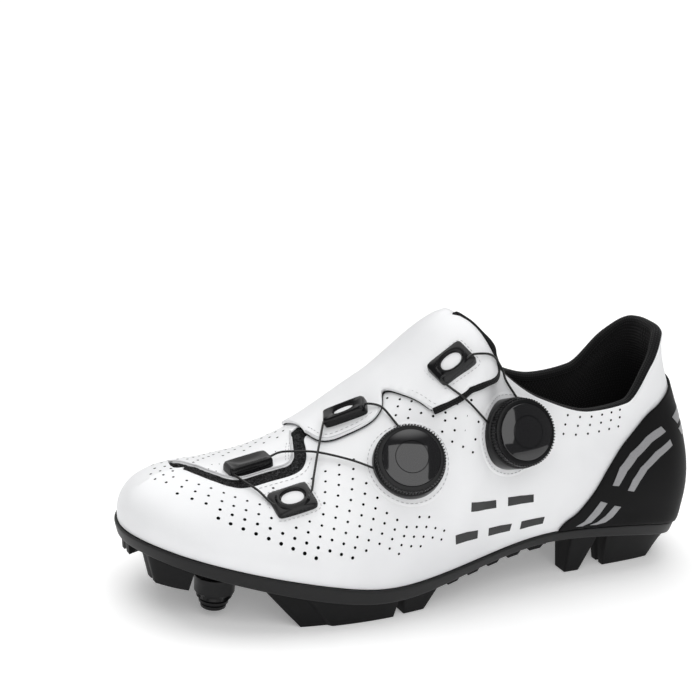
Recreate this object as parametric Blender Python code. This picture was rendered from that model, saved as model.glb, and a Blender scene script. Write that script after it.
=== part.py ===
# Left cycling shoe, standing empty on its lugs. X runs from heel to toe, Y to the wearer's left,
# which is the outer side, and Z up from the floor. Tables are in millimetres.
import math

import bmesh
import bpy
import numpy as np
from mathutils import Vector
from mathutils.bvhtree import BVHTree

MM = 0.001

# driving sizes, in millimetres
SHOE_LENGTH = 280.0
BALL_WIDTH = 94.0
INSTEP_HEIGHT = 117.0
WALL = 2.0
COLLAR_PAD = 2.6
GAP = 0.3
FLAP_LIFT = 0.55
FLAP_FRONT_LIFT = 0.6
FLAP_THICK = 1.5
COUNTER_THICK = 1.0
TONGUE_THICK = 1.6
INSOLE_THICK = 3.0
RAND_OUT = 1.2
RAND_UNDERCUT = 1.0
CLEAT_SLOT_LENGTH = 36.0
CLEAT_SLOT_WIDTH = 7.0
CLEAT_SLOT_SPACING = 17.0
BOLT_HEAD_RADIUS = 4.3
BOLT_SHANK_RADIUS = 2.4
STUD_RADIUS = 9.0
STUD_TIP_RADIUS = 5.4
DIAL_RADIUS = 15.0
DIAL_BASE_RADIUS = 16.0
DIAL_BASE_HEIGHT = 2.4
DIAL_KNOB_HEIGHT = 6.0
DIAL_TEETH = 24
DEEPEST_FOOT = 7.0
LACE_RADIUS = 0.5
LACE_CHANNEL_RADIUS = 1.05

AROUND_STEPS = 11
ACROSS_STEPS = 4

# one section a row: u from heel back to toe tip, the feather line (x, outer, inner, z), the sole's
# underside (sole), the top edge (x, half width, outer z, inner z), then how the wall leaves the
# sole (flare in degrees, rise) and how it comes to the top edge (lean in degrees, reach)
SECTION_NAMES = "u x outer inner z sole top_x half top_outer top_inner flare rise lean reach".split()
SECTIONS = (
    (0.00, 9.0, 0.0, 0.0, 17.0, 11.5, 24.0, 0.0, 108.5, 108.5, 28.0, 0.40, 98.0, 0.25),
    (0.07, 15.0, 22.0, 21.5, 18.0, 12.3, 27.0, 12.0, 107.0, 108.0, 20.0, 0.40, 96.0, 0.25),
    (0.14, 34.0, 30.0, 29.0, 21.5, 15.5, 37.0, 21.0, 96.0, 99.0, 12.0, 0.40, 92.0, 0.25),
    (0.21, 60.0, 32.5, 29.5, 24.3, 18.8, 52.0, 26.0, 80.5, 82.0, 10.0, 0.40, 88.0, 0.25),
    (0.28, 88.0, 34.0, 27.0, 25.3, 20.3, 72.0, 27.0, 78.7, 79.0, 10.0, 0.40, 82.0, 0.25),
    (0.35, 112.0, 36.3, 26.5, 22.8, 17.8, 98.0, 25.5, 86.5, 87.0, 10.0, 0.40, 72.0, 0.30),
    (0.42, 134.0, 40.5, 29.5, 19.5, 14.0, 119.0, 19.0, 101.0, 102.5, 9.0, 0.42, 60.0, 0.30),
    (0.49, 156.0, 45.0, 35.0, 16.7, 10.0, 133.0, 0.0, 117.0, 117.0, 9.0, 0.44, 0.0, 0.23),
    (0.58, 182.0, 48.5, 42.0, 16.0, 8.8, 162.0, 0.0, 91.9, 91.9, 10.0, 0.46, 0.0, 0.31),
    (0.67, 208.0, 48.0, 46.0, 20.3, 12.8, 190.0, 0.0, 70.3, 70.3, 12.0, 0.50, 0.0, 0.39),
    (0.76, 233.0, 43.5, 45.5, 25.5, 18.5, 214.0, 0.0, 59.2, 59.2, 12.0, 0.55, 0.0, 0.46),
    (0.85, 257.0, 33.5, 38.0, 30.5, 24.0, 234.0, 0.0, 56.2, 56.2, 12.0, 0.60, 0.0, 0.52),
    (0.93, 273.0, 17.0, 25.0, 33.0, 27.0, 245.0, 0.0, 56.2, 56.2, 12.0, 0.60, 0.0, 0.57),
    (1.00, 280.0, -5.0, 5.0, 33.5, 27.7, 252.0, 0.0, 55.8, 55.8, 12.0, 0.60, 0.0, 0.60),
)
COLLAR_FRONT_U = 0.49
RIDGE_SHIFT = 9.0
RIDGE_SHIFT_START = 100.0
RIDGE_SHIFT_RUN = 150.0

# pattern pieces, as outlines in (u, q): q is 0 at the feather line and 1 at the top edge
GAP_TIP = (0.925, 1.0)
PANEL_EDGE = (
    (0.925, 1.0), (0.886, 0.82), (0.844, 0.745), (0.80, 0.71), (0.745, 0.735), (0.712, 0.76),
    (0.702, 0.86), (0.69, 0.94), (0.60, 0.94), (0.51, 0.71), (0.46, 0.80), (0.44, 1.0),
)
TAB_EDGE = (
    (0.925, 1.0), (0.892, 0.885), (0.824, 0.785), (0.772, 0.80), (0.736, 0.805), (0.722, 0.835),
    (0.715, 0.93), (0.712, 1.0),
)
TAB_EDGE_INNER = ((0.712, 1.0), (0.69, 0.86), (0.62, 0.82), (0.55, 0.82), (0.47, 0.86), (0.45, 1.0))
FLAP_OUTER = (
    (0.696, 1.0), (0.683, 0.90), (0.670, 0.855), (0.654, 0.835), (0.628, 0.81), (0.604, 0.78),
    (0.600, 0.82), (0.596, 0.885), (0.588, 0.865), (0.572, 0.755), (0.544, 0.62), (0.528, 0.59),
    (0.505, 0.585), (0.4725, 0.63), (0.455, 0.735), (0.437, 0.87), (0.437, 1.0),
)
FLAP_INNER = (
    (0.437, 1.0), (0.437, 0.70), (0.455, 0.50), (0.50, 0.40), (0.58, 0.42), (0.65, 0.50), (0.684, 0.70),
    (0.696, 1.0),
)
TONGUE_OUTER = (
    (0.49, 1.0), (0.49, 0.64), (0.58, 0.62), (0.70, 0.62), (0.80, 0.60), (0.88, 0.66), (0.945, 0.86),
    (0.955, 1.0),
)
TONGUE_INNER = (
    (0.955, 1.0), (0.93, 0.90), (0.80, 0.82), (0.70, 0.74), (0.60, 0.72), (0.49, 0.74), (0.49, 1.0),
)
COUNTER_EDGE = (
    (0.276, 0.012), (0.268, 0.07), (0.254, 0.135), (0.238, 0.29), (0.226, 0.46), (0.206, 0.63),
    (0.176, 0.69), (0.132, 0.675), (0.088, 0.67), (0.045, 0.69), (0.0, 0.71),
)
SPINE_OUTLINE = (
    (0.290, 0.0), (0.255, 0.24), (0.290, 0.44), (0.375, 0.16), (0.455, 0.40), (0.490, 0.22), (0.450, 0.0),
    (0.490, -0.22), (0.455, -0.40), (0.375, -0.16), (0.290, -0.44), (0.255, -0.24),
)
HEEL_PAD_OUTLINE = ((0.075, -0.34), (0.17, -0.34), (0.19, -0.16), (0.19, 0.16), (0.17, 0.34), (0.075, 0.34))

# tread blocks: top and foot ranges along (u) and across (t, 1 at the edge), and the foot's height
LUG_NAMES = "name u0 u1 low_u0 low_u1 t0 t1 low_t0 low_t1 low_z".split()
LUGS = (
    ("toe", 0.868, 0.945, 0.872, 0.928, 0.42, 0.97, 0.50, 0.90, 15.5),
    ("ball", 0.544, 0.765, 0.549, 0.700, 0.54, 0.98, 0.62, 0.95, 0.0),
    ("arch", 0.470, 0.536, 0.492, 0.530, 0.50, 0.98, 0.60, 0.94, 0.0),
    ("heel_front", 0.212, 0.250, 0.226, 0.246, 0.45, 0.95, 0.52, 0.80, 0.0),
    ("heel_back", 0.055, 0.200, 0.112, 0.190, 0.42, 0.95, 0.46, 0.76, 0.0),
)
COMB_U0, COMB_U1, COMB_T0, COMB_T1 = 0.285, 0.462, 0.62, 0.93
COMB_TEETH = 5
COMB_BASE = 1.6
COMB_TOOTH = 1.5
PAD_THICK = 1.6

# dials: foot point (u, q) on the outer side and the direction of the axis
DIALS = (
    ("front", 0.572, 0.485, (0.32, 0.75, 0.58)),
    ("rear", 0.403, 0.660, (0.04, 0.91, 0.40)),
)
# lace guides: foot point, turn of the long side from straight back, length, width, height, layer
GUIDE_NAMES = "name u q turn length width height on_flap".split()
GUIDES = (
    ("toe", 0.796, 0.891, 6.0, 20.0, 9.0, 4.6, 0),
    ("vamp", 0.734, 0.556, 15.0, 14.0, 15.5, 3.8, 0),
    ("middle", 0.637, 0.915, -27.0, 20.0, 9.0, 4.6, 1),
    ("strap", 0.516, 0.715, -2.0, 15.0, 16.0, 3.8, 1),
)
# lace runs: a shell point is (u, q, lift), a guide is (guide, way through, across, height)
LACES = (
    ("lace_front", "front", (
        (0.612, 0.535, 1.8), (0.648, 0.65, 2.2), (0.688, 0.80, 2.6), (0.714, 0.89, 2.6), (0.745, 0.96, 2.6),
        ("toe", -1, 0.0, 2.3),
        (0.842, 0.84, 2.0), (0.822, 0.74, 1.8), (0.79, 0.63, 1.8),
        ("vamp", 1, 0.0, 1.8),
        (0.697, 0.70, 2.4), (0.682, 0.85, 3.2),
        ("middle", 1, 0.0, 2.3),
        (0.600, 0.80, 2.6), (0.585, 0.69, 1.8),
    )),
    ("lace_rear", "rear", (
        (0.452, 0.59, 1.8), (0.484, 0.54, 2.2), (0.514, 0.58, 3.2),
        ("strap", 1, 2.5, 2.2),
        (0.466, 0.80, 3.4), (0.440, 0.91, 3.2), (0.412, 0.935, 1.8), (0.388, 0.90, 1.8),
    )),
)
# name: base colour and roughness
MATERIALS = {
    "white_upper": ((0.86, 0.87, 0.88), 0.45),
    "black_counter": ((0.05, 0.05, 0.055), 0.6),
    "black_mesh": ((0.02, 0.02, 0.02), 0.9),
    "insole_foam": ((0.05, 0.05, 0.055), 0.9),
    "nylon_plate": ((0.06, 0.06, 0.065), 0.4),
    "black_rubber": ((0.04, 0.04, 0.042), 0.75),
    "stud_black": ((0.03, 0.03, 0.03), 0.5),
    "steel": ((0.45, 0.45, 0.46), 0.35),
    "black_plastic": ((0.02, 0.02, 0.02), 0.3),
    "lace_wire": ((0.03, 0.03, 0.03), 0.4),
}


def spline_slopes(xs, ys, closed):
    """Slopes of the smooth curve through the knots: level at both ends, or joined end to end."""
    n = len(xs)
    h = np.diff(xs)
    d = np.diff(ys) / h
    a = np.zeros((n, n))
    b = np.zeros(n)
    for i in range(1, n - 1):
        a[i, i - 1], a[i, i], a[i, i + 1] = 1 / h[i - 1], 2 / h[i - 1] + 2 / h[i], 1 / h[i]
        b[i] = 3 * (d[i - 1] / h[i - 1] + d[i] / h[i])
    a[0, 0] = a[-1, -1] = 1
    if closed:
        a[0, 0], a[0, 1], a[0, n - 2] = 2 / h[0] + 2 / h[-1], 1 / h[0], 1 / h[-1]
        b[0] = 3 * (d[-1] / h[-1] + d[0] / h[0])
        a[-1, 0] = -1
    return np.linalg.solve(a, b)


def steady_slopes(xs, ys):
    """Slopes that never overshoot a knot."""
    h = np.diff(xs)
    d = np.diff(ys) / h
    m = np.zeros(len(xs))
    for i in range(1, len(xs) - 1):
        if d[i - 1] * d[i] > 0:
            w0, w1 = 2 * h[i] + h[i - 1], h[i] + 2 * h[i - 1]
            m[i] = (w0 + w1) / (w0 / d[i - 1] + w1 / d[i])
    for end, (h0, h1, d0, d1) in ((0, (h[0], h[1], d[0], d[1])), (-1, (h[-1], h[-2], d[-1], d[-2]))):
        slope = ((2 * h0 + h1) * d0 - h0 * d1) / (h0 + h1)
        if slope * d0 <= 0:
            slope = 0.0
        elif d0 * d1 < 0 and abs(slope) > 3 * abs(d0):
            slope = 3 * d0
        m[end] = slope
    return m


def curve_value(curve, x):
    xs, ys, ms = curve
    x = np.clip(x, xs[0], xs[-1])
    i = np.clip(np.searchsorted(xs, x, side="right") - 1, 0, len(xs) - 2)
    h = xs[i + 1] - xs[i]
    t = (x - xs[i]) / h
    return (
        ys[i] * (1 + 2 * t) * (1 - t) ** 2
        + ys[i + 1] * t * t * (3 - 2 * t)
        + ms[i] * h * t * (1 - t) ** 2
        - ms[i + 1] * h * t * t * (1 - t)
    )


def section_curves():
    table = np.array(SECTIONS)
    column = {name: table[:, i].copy() for i, name in enumerate(SECTION_NAMES)}
    along = SHOE_LENGTH / column["x"].max()
    across = BALL_WIDTH / (column["outer"] + column["inner"]).max()
    up = INSTEP_HEIGHT / column["top_outer"].max()
    for name in ("x", "top_x"):
        column[name] *= along
    for name in ("outer", "inner", "half"):
        column[name] *= across
    for name in ("z", "sole", "top_outer", "top_inner"):
        column[name] *= up
    # the square of the half width, so that the opening is round at both its ends
    column["half"] = column["half"] ** 2
    u = column["u"]
    curves = {}
    for name in ("half", "top_outer", "top_inner", "lean"):
        curves[name] = (u, column[name], steady_slopes(u, column[name]))
    for name in ("z", "sole", "top_x", "flare", "rise", "reach"):
        curves[name] = (u, column[name], spline_slopes(u, column[name], False))
    loop_u = np.concatenate([u, 2 - u[-2::-1]])
    loop_x = np.concatenate([column["x"], column["x"][-2::-1]])
    loop_y = np.concatenate([column["outer"], -column["inner"][-2::-1]])
    curves["loop_x"] = (loop_u, loop_x, spline_slopes(loop_u, loop_x, True))
    curves["loop_y"] = (loop_u, loop_y, spline_slopes(loop_u, loop_y, True))
    ridge = u >= COLLAR_FRONT_U - 0.001
    ridge_x, ridge_z = column["top_x"][ridge], column["top_outer"][ridge]
    curves["ridge"] = (ridge_x, ridge_z, steady_slopes(ridge_x, ridge_z))
    return curves


CURVES = section_curves()


def outline(u, side):
    """Feather line in plan, and its outward direction, for arrays of u and side (1 outer, -1 inner)."""
    v = np.where(side > 0, u, 2 - u)
    step = 1e-4
    last = CURVES["loop_x"][0][-1]
    before, after = np.mod(v - step, last), np.mod(v + step, last)
    dx = curve_value(CURVES["loop_x"], after) - curve_value(CURVES["loop_x"], before)
    dy = curve_value(CURVES["loop_y"], after) - curve_value(CURVES["loop_y"], before)
    length = np.hypot(dx, dy)
    x = curve_value(CURVES["loop_x"], v)
    y = curve_value(CURVES["loop_y"], v)
    return x, y, -dy / length, dx / length


def ridge_shift(x):
    t = np.clip((x - RIDGE_SHIFT_START) / RIDGE_SHIFT_RUN, 0, 1)
    return -RIDGE_SHIFT * t * t * (3 - 2 * t)


def shell_raw(side, u, q):
    """The upper's outer face, a cubic rib from the feather line to the top edge at every u."""
    x, y, out_x, out_y = outline(u, side)
    foot = np.stack([x, y, curve_value(CURVES["z"], u)], -1)
    top_x = curve_value(CURVES["top_x"], u)
    top_z = np.where(side > 0, curve_value(CURVES["top_outer"], u), curve_value(CURVES["top_inner"], u))
    half = np.sqrt(np.maximum(curve_value(CURVES["half"], u), 0))
    top = np.stack([top_x, ridge_shift(top_x) + side * half, top_z], -1)
    flare = np.radians(curve_value(CURVES["flare"], u))
    lean = np.radians(curve_value(CURVES["lean"], u))
    rise = (curve_value(CURVES["rise"], u) * (top_z - foot[..., 2]))[..., None]
    out = np.stack([out_x, out_y, 0 * out_x], -1)
    up = np.array([0.0, 0.0, 1.0])
    near_foot = foot + rise * (np.sin(flare)[..., None] * out + np.cos(flare)[..., None] * up)
    step = 0.5
    ridge = CURVES["ridge"]
    ridge_x = np.maximum(top_x, ridge[0][0] + step)
    slope = (curve_value(ridge, ridge_x + step) - curve_value(ridge, ridge_x - step)) / (2 * step)
    slope = slope * np.clip((u - 0.42) / 0.07, 0, 1)
    aim = np.stack([out_x, out_y, out_x * slope], -1)
    aim = aim * np.cos(lean)[..., None] - up * np.sin(lean)[..., None]
    span = np.linalg.norm(top - foot, axis=-1, keepdims=True)
    near_top = top + curve_value(CURVES["reach"], u)[..., None] * span * aim
    q = q[..., None]
    low_part = (1 - q) ** 3 * foot + 3 * (1 - q) ** 2 * q * near_foot
    return low_part + 3 * (1 - q) * q * q * near_top + q**3 * top


def shell_normal(side, u, q):
    """Outward direction, the same from both halves where they meet at heel, toe and ridge."""
    n = half_normal(side, u, q)
    seam = (u < 1e-5) | (u > 1 - 1e-5) | ((q > 1 - 1e-5) & (u > COLLAR_FRONT_U - 1e-5))
    both = n + half_normal(-side, u, q)
    n = np.where(seam[..., None], both, n)
    return n / np.linalg.norm(n, axis=-1, keepdims=True)


def half_normal(side, u, q):
    step = 1e-3
    u0, u1 = np.clip(u - step, 0, 1), np.clip(u + step, 0, 1)
    q0, q1 = np.clip(q - step, 0, 1), np.clip(q + step, 0, 1)
    below = np.minimum(q, 0.985)
    du = shell_raw(side, u1, below) - shell_raw(side, u0, below)
    dq = shell_raw(side, u, q1) - shell_raw(side, u, q0)
    n = np.cross(du, dq) * -side[..., None]
    return n / np.linalg.norm(n, axis=-1, keepdims=True)


def shell(side, u, q, lift):
    side, u, q = (np.asarray(a, float) for a in (side, u, q))
    return shell_raw(side, u, q) + shell_normal(side, u, q) * np.asarray(lift, float)[..., None]


def sole_point(u, t, inset, z):
    """A point across the sole: t is 1 on the outer edge and -1 on the inner edge."""
    ox, oy, onx, ony = outline(u, np.ones_like(u))
    ix, iy, inx, iny = outline(u, -np.ones_like(u))
    outer = np.stack([ox - inset * onx, oy - inset * ony], -1)
    inner = np.stack([ix - inset * inx, iy - inset * iny], -1)
    share = ((t + 1) / 2)[..., None]
    return np.concatenate([inner + (outer - inner) * share, np.asarray(z)[..., None]], -1)


def smoothed(points, steps):
    """Points of a smooth open line through the given ones."""
    p = np.array(points, float)
    p = np.vstack([2 * p[0] - p[1], p, 2 * p[-1] - p[-2]])
    out = []
    for i in range(1, len(p) - 2):
        for k in range(steps):
            t = k / steps
            out.append(
                0.5 * (2 * p[i] + (p[i + 1] - p[i - 1]) * t
                       + (2 * p[i - 1] - 5 * p[i] + 4 * p[i + 1] - p[i + 2]) * t * t
                       + (3 * p[i] - p[i - 1] - 3 * p[i + 1] + p[i + 2]) * t**3)
            )
    return np.vstack(out + [p[-2]])


def cells(side, corners, u_lines, q_lines):
    """Cuts a flat outline along the lattice lines: (side, list of corner points) for every piece."""
    bm = bmesh.new()
    bm.faces.new([bm.verts.new((u, q, 0)) for u, q in corners])
    for axis, lines in ((Vector((1, 0, 0)), u_lines), (Vector((0, 1, 0)), q_lines)):
        for value in lines:
            bmesh.ops.bisect_plane(
                bm, geom=bm.verts[:] + bm.edges[:] + bm.faces[:], dist=1e-6,
                plane_co=axis * value, plane_no=axis
            )
    bmesh.ops.remove_doubles(bm, verts=bm.verts[:], dist=1e-5)
    found = [(side, [(v.co.x, v.co.y) for v in face.verts]) for face in bm.faces]
    bm.free()
    return found


def sheet_solid(name, pieces, low, high, material):
    """A closed solid between two faces over the same pattern cells, walled where the cells end."""
    bm = bmesh.new()
    keys = [bm.verts.layers.float.new(k) for k in ("side", "u", "q")]
    flat = np.array([(side, u, q) for side, corners in pieces for u, q in corners])
    middle = (low(*flat.T) + high(*flat.T)) / 2 * MM
    i = 0
    for side, corners in pieces:
        verts = []
        for u, q in corners:
            v = bm.verts.new(middle[i])
            for layer, value in zip(keys, (side, u, q)):
                v[layer] = value
            verts.append(v)
            i += 1
        bm.faces.new(verts)
    bmesh.ops.remove_doubles(bm, verts=bm.verts[:], dist=4e-6)
    bmesh.ops.dissolve_degenerate(bm, dist=1e-6, edges=bm.edges[:])
    bm.verts.index_update()
    values = np.array([[v[layer] for layer in keys] for v in bm.verts])
    tops, bottoms = high(*values.T) * MM, low(*values.T) * MM
    faces = [[v.index for v in face.verts] for face in bm.faces]
    rim = [[v.index for v in edge.verts] for edge in bm.edges if len(edge.link_faces) == 1]
    bm.free()
    count = len(tops)
    solid = [list(f) for f in faces] + [[i + count for i in reversed(f)] for f in faces]
    solid += [[a, b, b + count, a + count] for a, b in rim]
    return mesh_object(name, np.vstack([tops, bottoms]), solid, material)


def mesh_object(name, points, faces, material):
    mesh = bpy.data.meshes.new(name)
    mesh.from_pydata([tuple(p) for p in points], [], [tuple(f) for f in faces])
    bm = bmesh.new()
    bm.from_mesh(mesh)
    bmesh.ops.triangulate(bm, faces=[f for f in bm.faces if len(f.verts) > 4])
    bmesh.ops.recalc_face_normals(bm, faces=bm.faces[:])
    bm.to_mesh(mesh)
    bm.free()
    obj = bpy.data.objects.new(name, mesh)
    return finish(obj, material)


def finish(obj, material):
    PARTS.objects.link(obj)
    if material:
        obj.data.materials.append(paint(material))
    return obj


def paint(name):
    found = bpy.data.materials.get(name)
    if found:
        return found
    colour, rough = MATERIALS[name]
    made = bpy.data.materials.new(name)
    made.use_nodes = True
    surface = made.node_tree.nodes["Principled BSDF"]
    surface.inputs["Base Color"].default_value = (*colour, 1)
    surface.inputs["Roughness"].default_value = rough
    made.diffuse_color = (*colour, 1)
    return made


def as_cutter(obj):
    for collection in list(obj.users_collection):
        collection.objects.unlink(obj)
    CUTTERS.objects.link(obj)
    obj.hide_render = True
    obj.display_type = "WIRE"
    return obj


def cut(obj, cutter):
    modifier = obj.modifiers.new("cut", "BOOLEAN")
    modifier.operation = "DIFFERENCE"
    modifier.solver = "EXACT"
    modifier.object = as_cutter(cutter)


# stations along the shoe: closer together at the collar front, and one at each corner on the ridge
U_LINES = np.array((
    0.0, 0.03, 0.06, 0.09, 0.12, 0.155, 0.19, 0.225, 0.26, 0.295, 0.33, 0.365, 0.395, 0.42, 0.437, 0.455,
    0.4725, 0.49, 0.515, 0.545, 0.575, 0.605, 0.635, 0.665, 0.696, 0.712, 0.74, 0.775, 0.81, 0.845, 0.88,
    0.925, 0.955, 0.98, 1.0,
))
Q_LINES = np.linspace(0, 1, AROUND_STEPS + 1)
T_LINES = np.linspace(-1, 1, ACROSS_STEPS + 1)


def wall_at(u, q):
    """Wall thickness: the collar is padded inwards."""
    near_top = np.clip((q - 0.72) / 0.2, 0, 1)
    collar = np.clip((0.43 - u) / 0.07, 0, 1)
    return WALL + COLLAR_PAD * near_top * near_top * (3 - 2 * near_top) * collar


def between(low_lift, high_lift):
    """Low and high faces at two lifts from the shell."""
    return (
        lambda s, u, q: shell(s, u, q, low_lift + 0 * u),
        lambda s, u, q: shell(s, u, q, high_lift + 0 * u),
    )


def build_upper():
    panel = [(0, 0), (1, 0), (1, 1)] + list(smoothed(PANEL_EDGE, 3)) + [(0, 1)]
    outer = cells(1, panel, U_LINES, Q_LINES)
    tab = [TAB_EDGE[-1]] + [tuple(p) for p in smoothed(TAB_EDGE, 3)[::-1][1:-1]] + [GAP_TIP]
    outer += cells(1, tab, U_LINES, Q_LINES)
    inner_top = [tuple(p) for p in smoothed(TAB_EDGE_INNER, 3)]
    inner = cells(-1, [(0, 0), (1, 0), (1, 1)] + inner_top + [(0, 1)], U_LINES, Q_LINES)
    return sheet_solid(
        "upper", outer + inner,
        lambda s, u, q: shell(s, u, q, -wall_at(u, q)), lambda s, u, q: shell(s, u, q, 0 * u), "white_upper",
    )


def flap_lift(u):
    """The flap stands a little higher where it rounds the collar front."""
    return FLAP_LIFT + FLAP_FRONT_LIFT * np.clip((0.505 - u) / 0.05, 0, 1)


def build_overlays():
    flap = cells(1, FLAP_OUTER, U_LINES, Q_LINES) + cells(-1, FLAP_INNER, U_LINES, Q_LINES)
    sheet_solid(
        "wrap_flap", flap, lambda s, u, q: shell(s, u, q, flap_lift(u)),
        lambda s, u, q: shell(s, u, q, flap_lift(u) + FLAP_THICK), "white_upper",
    )
    depth = WALL + 1.6 * GAP
    tongue = cells(1, TONGUE_OUTER, U_LINES, Q_LINES) + cells(-1, TONGUE_INNER, U_LINES, Q_LINES)
    sheet_solid("tongue", tongue, *between(-depth - TONGUE_THICK, -depth), "black_mesh")
    edge = [tuple(p) for p in smoothed(COUNTER_EDGE, 2)]
    start = [(0, COUNTER_EDGE[0][1])]
    counter = cells(1, start + edge, U_LINES, Q_LINES) + cells(-1, start + edge, U_LINES, Q_LINES)
    sheet_solid("heel_counter", counter, *between(GAP, GAP + COUNTER_THICK), "black_counter")


def build_sole():
    whole = cells(0, [(0, -1), (1, -1), (1, 1), (0, 1)], U_LINES, T_LINES)

    def height(name, drop):
        return lambda u: curve_value(CURVES[name], u) + drop

    top, bottom = height("z", -GAP), height("sole", 0)
    plate = sheet_solid(
        "sole_plate", whole,
        lambda s, u, t: sole_point(u, t, RAND_UNDERCUT, bottom(u)),
        lambda s, u, t: sole_point(u, t, -RAND_OUT, top(u)), "nylon_plate",
    )
    inset = WALL + 6 * GAP
    coarse = cells(0, [(0, -1), (1, -1), (1, 1), (0, 1)], U_LINES, T_LINES[::2])
    sheet_solid(
        "insole", coarse,
        lambda s, u, t: sole_point(u, t, inset, height("z", 2.5 * GAP)(u)),
        lambda s, u, t: sole_point(u, t, inset, height("z", 2.5 * GAP + INSOLE_THICK)(u)), "insole_foam",
    )
    return plate


def under(u):
    return curve_value(CURVES["sole"], u) - GAP


def build_lugs():
    for row in LUGS:
        lug = dict(zip(LUG_NAMES, row))
        for side, word in ((1, "outer"), (-1, "inner")):
            steps = max(2, int((lug["u1"] - lug["u0"]) / 0.03))
            shape = cells(
                side, [(0, 0), (1, 0), (1, 1), (0, 1)], np.linspace(0, 1, steps + 1), np.linspace(0, 1, 3)
            )

            def high(s, a, b, lug=lug):
                u = lug["u0"] + (lug["u1"] - lug["u0"]) * a
                return sole_point(u, s * (lug["t0"] + (lug["t1"] - lug["t0"]) * b), RAND_UNDERCUT, under(u))

            def low(s, a, b, lug=lug):
                u = lug["low_u0"] + (lug["low_u1"] - lug["low_u0"]) * a
                t = lug["low_t0"] + (lug["low_t1"] - lug["low_t0"]) * b
                return sole_point(u, s * t, RAND_UNDERCUT, lug["low_z"] + 0 * u)

            sheet_solid(f"lug_{lug['name']}_{word}", shape, low, high, "black_rubber")


def build_combs():
    edges = [0.0]
    for i in range(COMB_TEETH):
        a = (i + 0.12) / COMB_TEETH
        b = (i + 0.24) / COMB_TEETH
        edges += [a, b, (i + 0.70) / COMB_TEETH, (i + 0.82) / COMB_TEETH]
    edges.append(1.0)
    for side, word in ((1, "outer"), (-1, "inner")):
        shape = cells(side, [(0, 0), (1, 0), (1, 1), (0, 1)], edges, (0, 0.5, 1))

        def high(s, a, b):
            u = COMB_U0 + (COMB_U1 - COMB_U0) * a
            return sole_point(u, s * (COMB_T0 + (COMB_T1 - COMB_T0) * b), RAND_UNDERCUT, under(u))

        def low(s, a, b):
            u = COMB_U0 + (COMB_U1 - COMB_U0) * a
            phase = np.mod(a * COMB_TEETH + 1e-4, 1.0)
            tooth = ((phase > 0.2) & (phase < 0.75)).astype(float)
            drop = COMB_BASE + COMB_TOOTH * tooth
            return sole_point(u, s * (COMB_T0 + (COMB_T1 - COMB_T0) * b), RAND_UNDERCUT, under(u) - drop)

        sheet_solid(f"comb_{word}", shape, low, high, "black_rubber")


def build_pads():
    lines = np.linspace(0, 1, 13)
    for name, shape in (
        ("spine_pad", SPINE_OUTLINE),
        ("heel_pad", HEEL_PAD_OUTLINE),
    ):
        sheet_solid(
            name, cells(0, shape, lines, T_LINES),
            lambda s, u, t: sole_point(u, t, RAND_UNDERCUT, under(u) - PAD_THICK),
            lambda s, u, t: sole_point(u, t, RAND_UNDERCUT, under(u)), "black_rubber",
        )


def lathe(name, profile, steps, material):
    """A turned solid about Z from (radius, height) pairs that start and end on the axis."""
    points, faces = [(0, 0, profile[0][1])], []
    rings = profile[1:-1]
    for r, z in rings:
        for k in range(steps):
            a = 2 * math.pi * k / steps
            points.append((r * math.cos(a), r * math.sin(a), z))
    points.append((0, 0, profile[-1][1]))
    last = len(points) - 1
    for k in range(steps):
        n = (k + 1) % steps
        faces.append((0, 1 + n, 1 + k))
        for j in range(len(rings) - 1):
            a, b = 1 + j * steps, 1 + (j + 1) * steps
            faces.append((a + k, a + n, b + n, b + k))
        a = 1 + (len(rings) - 1) * steps
        faces.append((a + k, a + n, last))
    return mesh_object(name, np.array(points) * MM, faces, material)


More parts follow.
